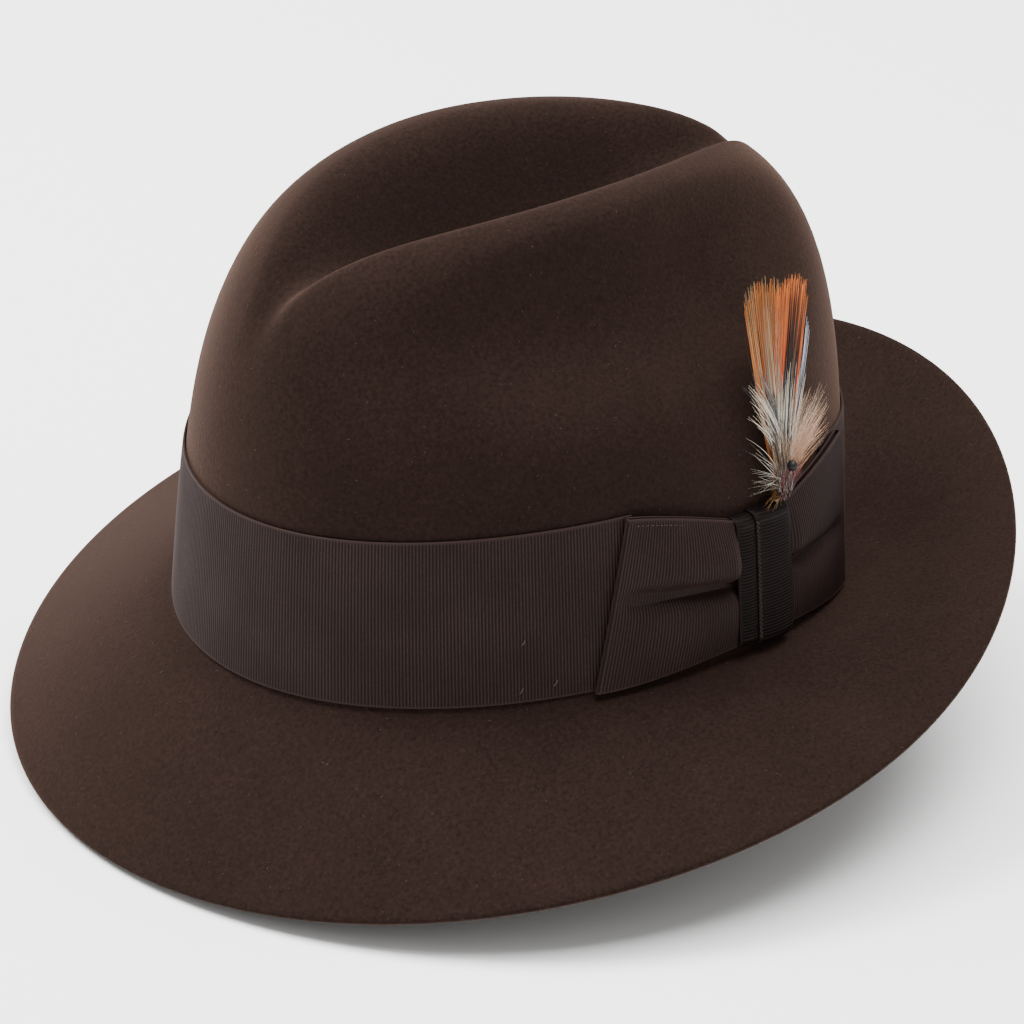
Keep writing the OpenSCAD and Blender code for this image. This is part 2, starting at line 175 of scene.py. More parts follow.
def crown_point(p, rho, h):
    """The crown at a share rho of its plan radius and a share h of its height."""
    lean_x = np.where(np.cos(p) < 0, lean_back, lean_front)
    x = crown_a * np.cos(p) * rho * (1 - lean_x * h)
    lean_y = lean_side - lean_ease * smooth(0, 1, -np.cos(p))
    y = crown_b * np.sin(p) * rho * (1 - lean_y * h)
    z = mix(break_z(p), crown_h, h) - h * drop_at(x / crown_a)
    top = smooth(crease_low, crease_full, h)
    lens = 1 - ((x - crease_x) / np.where(x > crease_x, crease_front, crease_l)) ** 2
    half = np.maximum(crease_w * lens, crease_end)
    valley = crease_depth * np.maximum(lens, 0) ** crease_fade
    valley = valley * (1 + np.cos(np.pi * np.minimum(np.abs(y) / half, 1))) / 2
    away = np.abs(y) - half - dent_off
    off = away / np.where(away < 0, dent_spread, dent_reach)
    along = smooth(*dent_rise, x) * (1 - dent_front * smooth(*dent_fall, x))
    dent = np.where(y > 0, dent_depth, dent_far) * along * np.exp(-off * off) * top
    return points(x, y - np.sign(y) * dent_in * dent, z - valley * top - dent_down * dent)


def edge_z(p):
    return (-brim_drop - brim_tilt * np.cos(p) + brim_dip * np.cos(2 * p)
            - brim_roll * np.cos(3 * p) + 0.6 * np.cos(4 * p))


def brim_point(p, s):
    """The brim at a share s of its width, from the break to the edge."""
    reach = brim_w - brim_w_side * np.cos(2 * p)
    bend = 1.15 + 0.5 * smooth(-0.2, 1, -np.cos(p))
    foot = points(crown_a * np.cos(p), crown_b * np.sin(p), mix(break_z(p), edge_z(p), s ** bend))
    return foot + oval_out(p) * (reach * s)[..., None]


def bend_point(p, t):
    """The small bend between brim and crown, from its outer end to its upper end."""
    t = t[..., None]
    outside = brim_point(p, np.full_like(p, bend_s))
    corner = points(crown_a * np.cos(p), crown_b * np.sin(p), break_z(p))
    inside = crown_point(p, rho_at(bend_h), np.full_like(p, bend_h))
    return outside * (1 - t) ** 2 + corner * 2 * t * (1 - t) + inside * t * t


def face_point(p, v):
    """The felt's outer face along a radius: 0 to 1 brim, to 2 bend, to 3 wall, to 4 tip."""
    p, v = np.broadcast_arrays(np.asarray(p, float), np.asarray(v, float))
    wall_h = mix(bend_h, wall_top, np.clip(v - 2, 0, 1))
    tip_rho = rho_at(wall_top) * np.clip(4 - v, 0, 1)
    kind = [v <= 1, v <= 2, v <= 3, v > 3]
    spots = [brim_point(p, mix(1, bend_s, np.clip(v, 0, 1))),
             bend_point(p, np.clip(v - 1, 0, 1)),
             crown_point(p, rho_at(wall_h), wall_h),
             crown_point(p, tip_rho, height_at(tip_rho))]
    return np.select([k[..., None] for k in kind], spots)


def face_out(p, v):
    """The direction out of the felt's outer face."""
    p, v = np.broadcast_arrays(np.asarray(p, float), np.asarray(v, float))
    v = np.minimum(v, 3.96)
    turn, step = 0.01, 0.01
    around = face_point(p + turn, v) - face_point(p - turn, v)
    inward = face_point(p, v + step) - face_point(p, np.maximum(v - step, 0))
    return unit(np.cross(around, inward))


def under(p, v, depth):
    """A point at a depth below the felt's outer face."""
    return face_point(p, v) - depth * face_out(p, v)


def closed_mesh(name, outer, inner, ring=False, caps=None, **lengths):
    """A closed mesh between two grids of points in millimetres; rows go round, columns across.
    caps gives the two points on which a dome closes. lengths become attributes of its points,
    a value in millimetres for each point of the outer grid, or one grid for each face."""
    rows, cols = outer.shape[:2]
    spots = np.concatenate([outer.reshape(-1, 3), inner.reshape(-1, 3)]) * MM
    if caps is not None:
        spots = np.concatenate([spots, np.array(caps) * MM])
    index = np.arange(rows * cols).reshape(rows, cols)
    below = index + rows * cols
    after = np.roll(index, -1, axis=0)
    after_below = np.roll(below, -1, axis=0)
    last = rows if ring else rows - 1

    def quads(a, b, c, d):
        return np.stack([a, b, c, d], axis=-1).reshape(-1, 4)

    faces = [quads(index[:last, :-1], after[:last, :-1], after[:last, 1:], index[:last, 1:]),
             quads(below[:last, :-1], below[:last, 1:], after_below[:last, 1:], after_below[:last, :-1]),
             quads(index[:last, 0], below[:last, 0], after_below[:last, 0], after[:last, 0])]
    if caps is None:
        faces.append(quads(index[:last, -1], after[:last, -1], after_below[:last, -1], below[:last, -1]))
    if not ring:
        faces.append(quads(index[0, :-1], index[0, 1:], below[0, 1:], below[0, :-1]))
        faces.append(quads(index[-1, :-1], below[-1, :-1], below[-1, 1:], index[-1, 1:]))
    faces = np.concatenate(faces).tolist()
    if caps is not None:
        pole = 2 * rows * cols
        faces += [[int(a), int(b), pole] for a, b in zip(index[:, -1], after[:, -1])]
        faces += [[int(b), int(a), pole + 1] for a, b in zip(below[:, -1], after_below[:, -1])]
    mesh = bpy.data.meshes.new(name)
    mesh.from_pydata(spots.tolist(), [], faces)
    mesh.shade_smooth()
    for key, (on_outer, on_inner) in lengths.items():
        values = np.concatenate([np.ravel(on_outer), np.ravel(on_inner)]).astype(np.float32)
        mesh.attributes.new(key, "FLOAT", "POINT").data.foreach_set("value", values)
    piece = bpy.data.objects.new(name, mesh)
    bpy.context.collection.objects.link(piece)
    return piece


def srgb(code):
    """An sRGB hex colour as linear red, green, blue and alpha."""
    parts = [int(code[i:i + 2], 16) / 255 for i in (1, 3, 5)]
    return tuple(c / 12.92 if c <= 0.04045 else ((c + 0.055) / 1.055) ** 2.4 for c in parts) + (1.0,)


def add_node(tree, kind, settings=None, links=None):
    """Adds a node. settings sets its inputs, by name or number, or its properties; links wires inputs.
    The settings key "ramp" takes the stops of a colour ramp, each a position and a colour."""
    node = tree.nodes.new(kind)
    for key, value in (settings or {}).items():
        if key == "ramp":
            stops = node.color_ramp.elements
            while len(stops) < len(value):
                stops.new(0.5)
            for stop, (position, code) in zip(stops, value):
                stop.position = position
                stop.color = srgb(code)
        elif isinstance(key, int) or key in node.inputs:
            node.inputs[key].default_value = value
        else:
            setattr(node, key, value)
    for key, source in (links or {}).items():
        tree.links.new(source, node.inputs[key])
    return node


def result_of(tree, operation, first, second):
    """A Math node between two values, each a socket or a number."""
    pair = {0: first, 1: second}
    numbers = {key: value for key, value in pair.items() if isinstance(value, (int, float))}
    sockets = {key: value for key, value in pair.items() if key not in numbers}
    return add_node(tree, "ShaderNodeMath", {"operation": operation, **numbers}, sockets).outputs["Value"]


def texture(tree, kind, **settings):
    """A texture laid over a piece's own coordinates; returns its outputs."""
    place = add_node(tree, "ShaderNodeTexCoord")
    return add_node(tree, "ShaderNodeTex" + kind, settings, {"Vector": place.outputs["Object"]}).outputs


def tone_of(tree, share, *stops):
    """The colour of a ramp at a share. Each stop is a position and a colour."""
    return add_node(tree, "ShaderNodeValToRGB", {"ramp": stops}, {"Fac": share}).outputs["Color"]


def darkened(tree, first, second, share=1.0):
    """One colour multiplied by a second one, by a share of the second's full strength."""
    return add_node(tree, "ShaderNodeMix", {"data_type": "RGBA", "blend_type": "MULTIPLY", "Factor": share},
                    {6: first, 7: second}).outputs[2]


def roughen(tree, shader, height, strength, distance):
    """Gives a shader a bump from a height socket."""
    bump = add_node(tree, "ShaderNodeBump", {"Strength": strength, "Distance": distance},
                    {"Height": height})
    tree.links.new(bump.outputs["Normal"], shader.inputs["Normal"])


def new_material(name, **finish):
    """A material with a Principled shader and its fixed finish; returns it, its tree and the shader."""
    material = bpy.data.materials.new(name)
    material.use_nodes = True
    shader = material.node_tree.nodes["Principled BSDF"]
    for key, value in finish.items():
        shader.inputs[key.replace("_", " ")].default_value = value
    return material, material.node_tree, shader


# Fur felt is a mat of short fibres: no gloss, a soft pale bloom where it turns away, cloudy
# tone from the finishing, and a grain of fibre ends about half a millimetre apart.
felt, tree, shader = new_material("fur_felt", Roughness=0.95, Specular_IOR_Level=0.06,
                                  Sheen_Weight=0.2, Sheen_Roughness=0.4, Sheen_Tint=srgb("#b8907c"))
clouds = texture(tree, "Noise", Scale=45.0, Detail=4.0, Roughness=0.6)["Fac"]
flecks = texture(tree, "Noise", Scale=900.0, Detail=4.0, Roughness=0.7)["Fac"]
cloud_tone = tone_of(tree, clouds, (0.3, "#231814"), (0.72, "#271b17"))
fleck_tone = tone_of(tree, flecks, (0.3, "#8f8580"), (0.75, "#ffffff"))
tree.links.new(darkened(tree, cloud_tone, fleck_tone, 0.85), shader.inputs["Base Color"])
roughen(tree, shader, flecks, 0.6, 0.0003)

felt_rows = 320
edge_round = 0.7
felt_levels = np.concatenate([np.linspace(0, 1, 40), np.linspace(1, 2, 6)[1:], np.linspace(2, 3, 26)[1:],
                              np.linspace(3, 3.985, 48)[1:]])
p_grid, v_grid = np.meshgrid(np.arange(felt_rows) * 2 * np.pi / felt_rows, felt_levels, indexing="ij")
felt_outer = face_point(p_grid, v_grid)
felt_normal = face_out(p_grid, v_grid)
felt_inner = felt_outer - felt_t * felt_normal
# The cut edge is sanded over: a ring between the faces stands out past them on each side
rim_middle = felt_outer[:, :1] - felt_normal[:, :1] * felt_t / 2
rim_out = rim_middle + unit(felt_outer[:, :1] - felt_outer[:, 1:2]) * edge_round
rim_step = felt_normal[:, :1] * felt_t * 0.28
felt_outer = np.concatenate([rim_out + rim_step, felt_outer], axis=1)
felt_inner = np.concatenate([rim_out - rim_step, felt_inner], axis=1)
tip_top = face_point(0.0, 4.0)
felt_piece = closed_mesh("fur_felt_body", felt_outer, felt_inner, ring=True,
                         caps=[tip_top, tip_top - [0, 0, felt_t]])
felt_piece.data.materials.append(felt)
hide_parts("felt_body", "front_brim")
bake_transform(felt_piece)

# ---- Ribbon band ----
# A ribbed grosgrain ribbon, 48 mm wide, pulled tight round the crown with a tailor's iron. Its
# ends meet under the bow. Stout weft cords stand up as ribs; both edges are woven selvedges.
ribbon_w = 47.8
ribbon_low = 1.4
ribbon_high = ribbon_low + ribbon_w
ribbon_d = 0.3
ribbon_t = 0.6
rib_pitch = 0.93
rib_height = 0.09
rib_samples = 5
selvedge = 0.8


def wall_point(p, m, d):
    """A point beside the crown wall: m above the break, d outside the felt, in millimetres."""
    p, m, d = np.broadcast_arrays(*(np.asarray(x, float) for x in (p, m, d)))
    h = np.maximum(m, 0) / (crown_h - break_z(p) - drop_at(np.cos(p)))
    wall = crown_point(p, rho_at(h), h)
    return points(wall[..., 0], wall[..., 1], break_z(p) + m) + d[..., None] * oval_out(p)


def geometry_tree(name, sizes):
    """A Geometry Nodes tree with named inputs; sizes maps each name to its kind of socket."""
    tree = bpy.data.node_groups.new(name, "GeometryNodeTree")
    tree.interface.new_socket("Geometry", in_out="INPUT", socket_type="NodeSocketGeometry")
    for size, kind in sizes.items():
        tree.interface.new_socket(size, in_out="INPUT", socket_type="NodeSocket" + kind)
    tree.interface.new_socket("Material", in_out="INPUT", socket_type="NodeSocketMaterial")
    tree.interface.new_socket("Geometry", in_out="OUTPUT", socket_type="NodeSocketGeometry")
    return tree, tree.nodes.new("NodeGroupInput").outputs


def close_tree(tree, given, geometry):
    """Ends a tree: the instances become real, the faces shade smooth and take the material."""
    real = add_node(tree, "GeometryNodeRealizeInstances", links={"Geometry": geometry})
    even = add_node(tree, "GeometryNodeSetShadeSmooth", links={"Geometry": real.outputs["Geometry"]})
    clad = add_node(tree, "GeometryNodeSetMaterial",
                    links={"Geometry": even.outputs["Geometry"], "Material": given["Material"]})
    add_node(tree, "NodeGroupOutput", links={"Geometry": clad.outputs["Geometry"]})


def grow(piece, tree, **sizes):
    """Runs a tree on a piece and keeps the result as its plain mesh. Underscores stand for spaces."""
    live = piece.modifiers.new(tree.name, "NODES")
    live.node_group = tree
    for socket in tree.interface.items_tree:
        value = sizes.get(socket.name.replace(" ", "_"))
        if socket.in_out == "INPUT" and value is not None:
            live[socket.identifier] = value
    shown = piece.evaluated_get(bpy.context.evaluated_depsgraph_get())
    mesh = bpy.data.meshes.new_from_object(shown)
    piece.modifiers.remove(live)
    mesh.name = piece.name
    piece.data = mesh
    return piece


# Ribs: the outer face rises and falls along the run of the ribbon
ribs, given = geometry_tree("grosgrain_ribs", {"Rib Pitch": "Float", "Rib Height": "Float"})
run = add_node(ribs, "GeometryNodeInputNamedAttribute", {"data_type": "FLOAT", "Name": "run"})
skin = add_node(ribs, "GeometryNodeInputNamedAttribute", {"data_type": "FLOAT", "Name": "skin"})
count = result_of(ribs, "DIVIDE", run.outputs["Attribute"], given["Rib Pitch"])
wave = add_node(ribs, "ShaderNodeMath", {"operation": "COSINE"},
                {0: result_of(ribs, "MULTIPLY", count, 2 * math.pi)})
rise = result_of(ribs, "MULTIPLY", wave.outputs["Value"], given["Rib Height"])
lift = result_of(ribs, "MULTIPLY", rise, skin.outputs["Attribute"])
out = add_node(ribs, "GeometryNodeInputNormal")
offset = add_node(ribs, "ShaderNodeVectorMath", {"operation": "SCALE"},
                  {"Vector": out.outputs["Normal"], "Scale": lift})
moved = add_node(ribs, "GeometryNodeSetPosition",
                 links={"Geometry": given["Geometry"], "Offset": offset.outputs["Vector"]})
close_tree(ribs, given, moved.outputs["Geometry"])

# Rayon and cotton grosgrain: a dull sheen on the cords, painted shade in the grooves between them,
# a fine uneven warp that crosses them, and a lighter smooth selvedge.
def grosgrain_cloth(name, between, flank, rib, edge_code, sheen):
    """The ribbon cloth; its tones are painted shade between the cords, lighter painted shade on their
    flanks, the cords' tops, and the edge.
    """
    material, tree, shader = new_material(name, Roughness=0.62, Specular_IOR_Level=0.08,
                                          Sheen_Weight=sheen, Sheen_Roughness=0.35,
                                          Sheen_Tint=srgb("#b59a92"))
    run = add_node(tree, "ShaderNodeAttribute", {"attribute_name": "run"})
    edge = add_node(tree, "ShaderNodeAttribute", {"attribute_name": "edge"})
    wave = add_node(tree, "ShaderNodeMath", {"operation": "COSINE"},
                    {0: result_of(tree, "MULTIPLY", run.outputs["Fac"], 2 * math.pi / (rib_pitch * MM))})
    rib_share = add_node(tree, "ShaderNodeMapRange", {"From Min": -1.0, "From Max": 1.0},
                         {"Value": wave.outputs["Value"]})
    # A ramp along the ribs paints shade into the grooves between the cords, lighter up their flanks to
    # their tops
    rib_groove_shading = tone_of(tree, rib_share.outputs["Result"], (0.0, between), (0.45, flank), (1.0, rib))
    threads = texture(tree, "Noise", Scale=2600.0, Detail=2.0)["Fac"]
    drift = texture(tree, "Noise", Scale=60.0, Detail=3.0)["Fac"]
    thread_tone = tone_of(tree, threads, (0.3, "#c4bcb8"), (0.7, "#ffffff"))
    drift_tone = tone_of(tree, drift, (0.3, "#dcd6d4"), (0.7, "#ffffff"))
    woven = darkened(tree, rib_groove_shading, darkened(tree, thread_tone, drift_tone))
    edged = add_node(tree, "ShaderNodeMix", {"data_type": "RGBA", 7: srgb(edge_code)},
                     {"Factor": edge.outputs["Fac"], 6: woven})
    tree.links.new(edged.outputs[2], shader.inputs["Base Color"])
    roughen(tree, shader, threads, 0.35, 0.0001)
    return material


# Each cloth's first colour is painted shade between the cords, its second a lighter painted shade on their
# flanks
grosgrain = grosgrain_cloth("grosgrain_ribbon", "#110a09", "#251918", "#332422", "#2b1f1c", 0.06)
# The knot's lengths take a darker copy of the ribbon cloth, without sheen: painted shade, as the knot lies
# in shadow
painted_shade_grosgrain = grosgrain_cloth("grosgrain_knot", "#050202", "#110a09", "#201514", "#191110", 0.0)


def across_ribbon(width):
    """Steps across a ribbon from edge to edge, as shares, with the skin and selvedge at each."""
    inner = np.linspace(selvedge, width - selvedge, 7)
    steps = np.concatenate([[0, 0.15], inner, [width - 0.15, width]]) / width
    skin = np.concatenate([[0, 0], np.ones(7), [0, 0]])
    edge = np.concatenate([[1, 1, 0.0], np.zeros(5), [0, 1, 1]])
    return steps, skin, edge


band_from, band_to = math.radians(122), math.radians(437)
fine = np.linspace(band_from, band_to, 4000)
band_line = wall_point(fine, ribbon_low + ribbon_w / 2, ribbon_d + ribbon_t)
line_run = np.concatenate([[0], np.cumsum(np.linalg.norm(np.diff(band_line, axis=0), axis=1))])
band_length = float(line_run[-1])
band_runs = np.linspace(0, band_length, int(band_length / rib_pitch * rib_samples))
steps, skin_at, edge_at = across_ribbon(ribbon_w)
p_grid, v_grid = np.meshgrid(np.interp(band_runs, line_run, fine), steps, indexing="ij")
run_grid = np.broadcast_to(band_runs[:, None] * MM, p_grid.shape)
heights = mix(ribbon_low, ribbon_high, v_grid)
band = closed_mesh("ribbon_band", wall_point(p_grid, heights, ribbon_d + ribbon_t),
                   wall_point(p_grid, heights, ribbon_d), run=(run_grid, run_grid),
                   skin=(np.broadcast_to(skin_at, p_grid.shape), 0 * p_grid),
                   edge=(np.broadcast_to(edge_at, p_grid.shape), np.broadcast_to(edge_at, p_grid.shape)))
grow(band, ribs, Rib_Pitch=rib_pitch * MM, Rib_Height=rib_height * MM, Material=grosgrain)
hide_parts("ribbon_band")
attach(band, "hat")

# ---- Bow wings ----
# Each wing is a loop of the same ribbon, folded at its far edge and gathered behind the knot, so
# that it pleats: the upper half swells over a deep valley and the lower half rolls under it.
knot_h = 36.0
knot_low = 2.4
knot_gather = ribbon_w - knot_h - knot_low
wing_d = 1.3
fold_r = 0.75
layer_t = 0.5


def bow_wing(name, fold_at, knot_at, swell, valley, leaning, node):
    """A folded wing. fold_at gives the angle of its fold at each share of its height, knot_at the
    angle where the knot grips it; swell and valley are how far the pleat stands out and sinks."""
    columns = 60
    lip = 0.15 / ribbon_w
    bound = selvedge / ribbon_w
    v_steps = np.concatenate([[0, lip], np.linspace(bound, 1 - bound, columns), [1 - lip, 1]])
    skin_at = np.concatenate([[0, 0], np.ones(columns), [0, 0]])
    edge_at = np.concatenate([[1, 1, 0.0], np.zeros(columns - 2), [0, 1, 1]])
    reach = wall_point(knot_at, knot_h / 2, 3) - wall_point(fold_at(0.5), knot_h / 2, 3)
    length = float(np.linalg.norm(reach))
    # The loop's path: x is the way from the fold, y the height over the felt's side
    back_x = np.linspace(length, fold_r, 12)[:-1]
    turn = np.linspace(0, np.pi, 9)
    rib_count = int(length / rib_pitch * rib_samples)
    top_x = np.linspace(fold_r, length, rib_count)[1:]
    path_x = np.concatenate([back_x, fold_r * (1 - np.sin(turn)), top_x])
    path_y = np.concatenate([0 * back_x, fold_r * (1 - np.cos(turn)), np.full(rib_count - 1, 2 * fold_r)])
    on_top = np.concatenate([0 * back_x, 0.5 * (1 - np.cos(turn)), np.ones(rib_count - 1)])
    runs = np.concatenate([[0], np.cumsum(np.hypot(np.diff(path_x), np.diff(path_y)))])
    tangent = unit(np.stack([np.gradient(path_x), np.gradient(path_y)], axis=-1))
    sides = []
    for half in (0.5, -0.5):
        x = (path_x - tangent[:, 1] * layer_t * half)[:, None]
        y = (path_y + tangent[:, 0] * layer_t * half)[:, None]
        v = v_steps[None, :]
        t = np.clip(x / length, 0, 1)
        p = mix(fold_at(v), knot_at, x / length)
        low = ribbon_low + knot_low * smooth(0.05, 1, t) + 0 * v
        high = ribbon_high - knot_gather * t ** 1.3 + 0 * v
        middle = 0.5 + leaning * (1 - t)
        upper = np.clip((v - middle) / (1 - middle), 0, 1)
        lower = np.clip((middle - v) / middle, 0, 1)
        grip = 1 - 0.75 * smooth(0.86, 1, t)
        puff = swell * smooth(0, 0.8, t) * grip * np.sin(np.pi * upper ** 0.6)
        puff = puff + 0.45 * swell * smooth(0, 0.6, t) * grip * np.sin(np.pi * lower ** 0.8)
        sink = valley * smooth(0, 0.22, t) * np.exp(-((v - middle) / 0.06) ** 2)
        d = wing_d + layer_t / 2 + y + (puff - sink) * on_top[:, None]
        sides.append(wall_point(p, mix(low, high, v), d))
    shape = sides[0].shape[:2]
    run_grid = np.broadcast_to(runs[:, None] * MM, shape)
    skin = np.broadcast_to(skin_at, shape)
    edge = np.broadcast_to(edge_at, shape)
    wing = closed_mesh(name, sides[0], sides[1], run=(run_grid, run_grid), skin=(skin, 0 * skin),
                       edge=(edge, edge))
    grow(wing, ribs, Rib_Pitch=rib_pitch * MM, Rib_Height=rib_height * MM, Material=grosgrain)
    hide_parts(*node)
    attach(wing, "hat")
    return wing


bow_wing("bow_front_wing_loop", lambda v: np.radians(69.8 + 6.0 * v), math.radians(96.5),
         swell=4.2, valley=2.8, leaning=0.02, node=["bow_front_wing", "bow_backing"])
bow_wing("bow_rear_wing_loop", lambda v: np.radians(131 - 1.5 * v), math.radians(106.5),
         swell=2.8, valley=1.6, leaning=-0.1, node=["bow_rear_wing"])

# ---- Bow knot ----
# Two short lengths of the ribbon go over the middle of the bow and are sewn behind it. The ribs
# run level across them. The front strip is narrow, and the rear one laps a little over its edge.
knot_d = 3.3
knot_round = 2.2
knot_seam = 99.1


def knot_strip(name, p_from, p_to, lift, rise, node):
    """A strip that goes up over the bow, between two angles in degrees."""
    low = ribbon_low + knot_low - rise
    high = ribbon_high - knot_gather + rise
    top = knot_d + lift
    corner = np.linspace(0, np.pi / 2, 7)
    levels = int((high - low) / rib_pitch * rib_samples)
    path_m = np.concatenate([[low], low + knot_round * (1 - np.cos(corner)),
                             np.linspace(low + knot_round, high - knot_round, levels)[1:-1],
                             high - knot_round * (1 - np.sin(corner)), [high]])
    path_d = np.concatenate([[0.9], top - knot_round * (1 - np.sin(corner)),
                             np.full(levels - 2, top), top - knot_round * (1 - np.cos(corner)), [0.9]])
    runs = np.concatenate([[0], np.cumsum(np.hypot(np.diff(path_m), np.diff(path_d)))])
    tangent = unit(np.stack([np.gradient(path_m), np.gradient(path_d)], axis=-1))
    across = np.linspace(0, 1, 15)
    belly = 0.7 * np.sin(np.pi * across) ** 0.6
    sides = []
    for half in (0.5, -0.5):
        m = (path_m - tangent[:, 1] * layer_t * 1.4 * half)[:, None] + 0 * across
        swelling = belly * smooth(0.9, 3, path_d)[:, None]
        d = (path_d + tangent[:, 0] * layer_t * 1.4 * half)[:, None] + swelling
        p = np.radians(mix(p_from, p_to, across))[None, :] + 0 * m
        # A shallow tilt, as the strips lie square to the wings and not to the crown
        sides.append(wall_point(p, m - (np.degrees(p) - 100) * 0.09, d)[:, ::-1])
    shape = sides[0].shape[:2]
    run_grid = np.broadcast_to(runs[:, None] * MM, shape)
    skin = np.ones(15)
    skin[[0, 1, -2, -1]] = 0
    edge = np.zeros(15)
    edge[[0, -1]] = 1
    strip = closed_mesh(name, sides[0], sides[1], run=(run_grid, run_grid),
                        skin=(np.broadcast_to(skin, shape), np.zeros(shape)),
                        edge=(np.broadcast_to(edge, shape), np.broadcast_to(edge, shape)))
    # The knot strips take the darker copy of the cloth: painted shade.
    grow(strip, ribs, Rib_Pitch=rib_pitch * MM, Rib_Height=rib_height * 2.2 * MM, Material=painted_shade_grosgrain)
    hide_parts(node)
    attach(strip, "hat")
    return strip


knot_strip("knot_front_strip_cloth", 95.2, knot_seam + 0.1, 0.9, 0.4, "knot_front_strip")
knot_strip("knot_rear_strip_cloth", knot_seam, 107.2, 1.5, 1.0, "knot_rear_strip")

# ---- Threads on the ribbon ----
# A fine running stitch holds down the rolled edge of the front wing, a zigzag sews the two knot
# strips together, and three tacks of dark cotton catch the ribbon to the felt near its end.
def path_piece(name, runs):
    """A piece made of paths, each a list of points in millimetres."""
    spots, edges = [], []
    for line in runs:
        edges += [(len(spots) + k, len(spots) + k + 1) for k in range(len(line) - 1)]
        spots += [tuple(np.asarray(spot, float) * MM) for spot in line]
    mesh = bpy.data.meshes.new(name)
    mesh.from_pydata(spots, edges, [])
    piece = bpy.data.objects.new(name, mesh)
    bpy.context.collection.objects.link(piece)
    return piece


# A running stitch: short rounded lengths of thread, evenly spaced and in line with their path
running_stitch, given = geometry_tree("running_stitch", {"Stitch Pitch": "Float", "Stitch Length": "Float",
                                                         "Thread Radius": "Float"})
line = add_node(running_stitch, "GeometryNodeMeshToCurve", links={"Mesh": given["Geometry"]})
spots = add_node(running_stitch, "GeometryNodeCurveToPoints", {"mode": "LENGTH"},
                 {"Curve": line.outputs["Curve"], "Length": given["Stitch Pitch"]})
aim = add_node(running_stitch, "FunctionNodeAlignRotationToVector", {"axis": "Z"},
               {"Vector": spots.outputs["Tangent"]})
half_length = result_of(running_stitch, "MULTIPLY", given["Stitch Length"], 0.5)
size = add_node(running_stitch, "ShaderNodeCombineXYZ",
                links={"X": given["Thread Radius"], "Y": given["Thread Radius"], "Z": half_length})
bead = add_node(running_stitch, "GeometryNodeMeshUVSphere", {"Segments": 6, "Rings": 5, "Radius": 1.0})
sewn = add_node(running_stitch, "GeometryNodeInstanceOnPoints",
                links={"Points": spots.outputs["Points"], "Instance": bead.outputs["Mesh"],
                       "Rotation": aim.outputs["Rotation"], "Scale": size.outputs["Vector"]})
close_tree(running_stitch, given, sewn.outputs["Instances"])

# A thread: a round tube along its path, thinner towards the end by the share Taper
thread_run, given = geometry_tree("thread_run", {"Thread Radius": "Float", "Taper": "Float",
                                                 "Sides": "Int"})
line = add_node(thread_run, "GeometryNodeMeshToCurve", links={"Mesh": given["Geometry"]})
way = add_node(thread_run, "GeometryNodeSplineParameter")
loss = result_of(thread_run, "MULTIPLY", way.outputs["Factor"], given["Taper"])
left = result_of(thread_run, "SUBTRACT", 1.0, loss)
section = add_node(thread_run, "GeometryNodeCurvePrimitiveCircle", {"Radius": 1.0},
                   {"Resolution": given["Sides"]})
tube = add_node(thread_run, "GeometryNodeCurveToMesh", {"Fill Caps": True},
                {"Curve": line.outputs["Curve"], "Profile Curve": section.outputs["Curve"],
                 "Scale": result_of(thread_run, "MULTIPLY", left, given["Thread Radius"])})
close_tree(thread_run, given, tube.outputs["Mesh"])

# Dark sewing cotton: matt, with the twist of its plies as a fine slanting bump
dark_thread, tree, shader = new_material("dark_sewing_cotton", Roughness=0.8, Specular_IOR_Level=0.2)
twist = texture(tree, "Noise", Scale=3000.0, Detail=2.0)["Fac"]
tree.links.new(tone_of(tree, twist, (0.3, "#241c1a"), (0.7, "#4a3c38")), shader.inputs["Base Color"])
roughen(tree, shader, twist, 0.4, 0.0001)

thread_r = 0.14
seam_m = np.linspace(ribbon_low + knot_low + 1.5, ribbon_high - knot_gather - 0.5, 54)
zigzag = wall_point(np.radians(knot_seam + 0.3 * (-1) ** np.arange(54)), seam_m, knot_d + 2.35)
edge_share = np.linspace(0.07, 0.92, 40)
edge_p = mix(np.radians(75.8), math.radians(96.5), edge_share)
edge_m = ribbon_high - knot_gather * edge_share ** 1.3 - 1.7
wing_line = wall_point(edge_p, edge_m, wing_d + 2 * fold_r + layer_t + 0.25)
seam_thread = path_piece("knot_seam_thread", [zigzag])
grow(seam_thread, thread_run, Thread_Radius=thread_r * MM, Taper=0.0, Sides=6, Material=dark_thread)
edge_thread = path_piece("wing_edge_stitches", [wing_line])
grow(edge_thread, running_stitch, Stitch_Pitch=1.5 * MM, Stitch_Length=1.0 * MM,
     Thread_Radius=thread_r * MM, Material=dark_thread)
tacks = []
for tack_at, tack_m in ((58, 4), (63.5, 5), (58.5, 18)):
    tack_p = np.radians(tack_at + np.array([-0.25, -0.1, 0.15, 0.3]))
    tack_d = ribbon_d + ribbon_t + np.array([-0.1, 0.35, 0.3, -0.1])
    tacks.append(wall_point(tack_p, tack_m + np.array([0, 0.5, 1.1, 1.5]), tack_d))
tack_thread = path_piece("ribbon_tack_threads", tacks)
grow(tack_thread, thread_run, Thread_Radius=0.22 * MM, Taper=0.0, Sides=6, Material=dark_thread)
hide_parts("bow_stitches")
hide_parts("ribbon_tacks")
for sewn in (seam_thread, edge_thread, tack_thread):
    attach(sewn, "hat")

# ---- Feather ----
# A small plume tucked behind the knot: dyed orange hackle, straw and slate barbs before it, tan
# down at the foot, a red tuft with a black bead, and a tie of ochre thread with frayed ends.
feather_at = math.radians(106)
feather_top = ribbon_high - knot_gather + 1
quill_d = 2.15
quill_tuck = 20.0
feather_foot = wall_point(feather_at, feather_top, quill_d)
feather_low = wall_point(feather_at, feather_top - quill_tuck, quill_d)
feather_up = unit(feather_foot - feather_low)
lean = math.acos(feather_up[2])
swing = math.atan2(feather_up[1], feather_up[0])
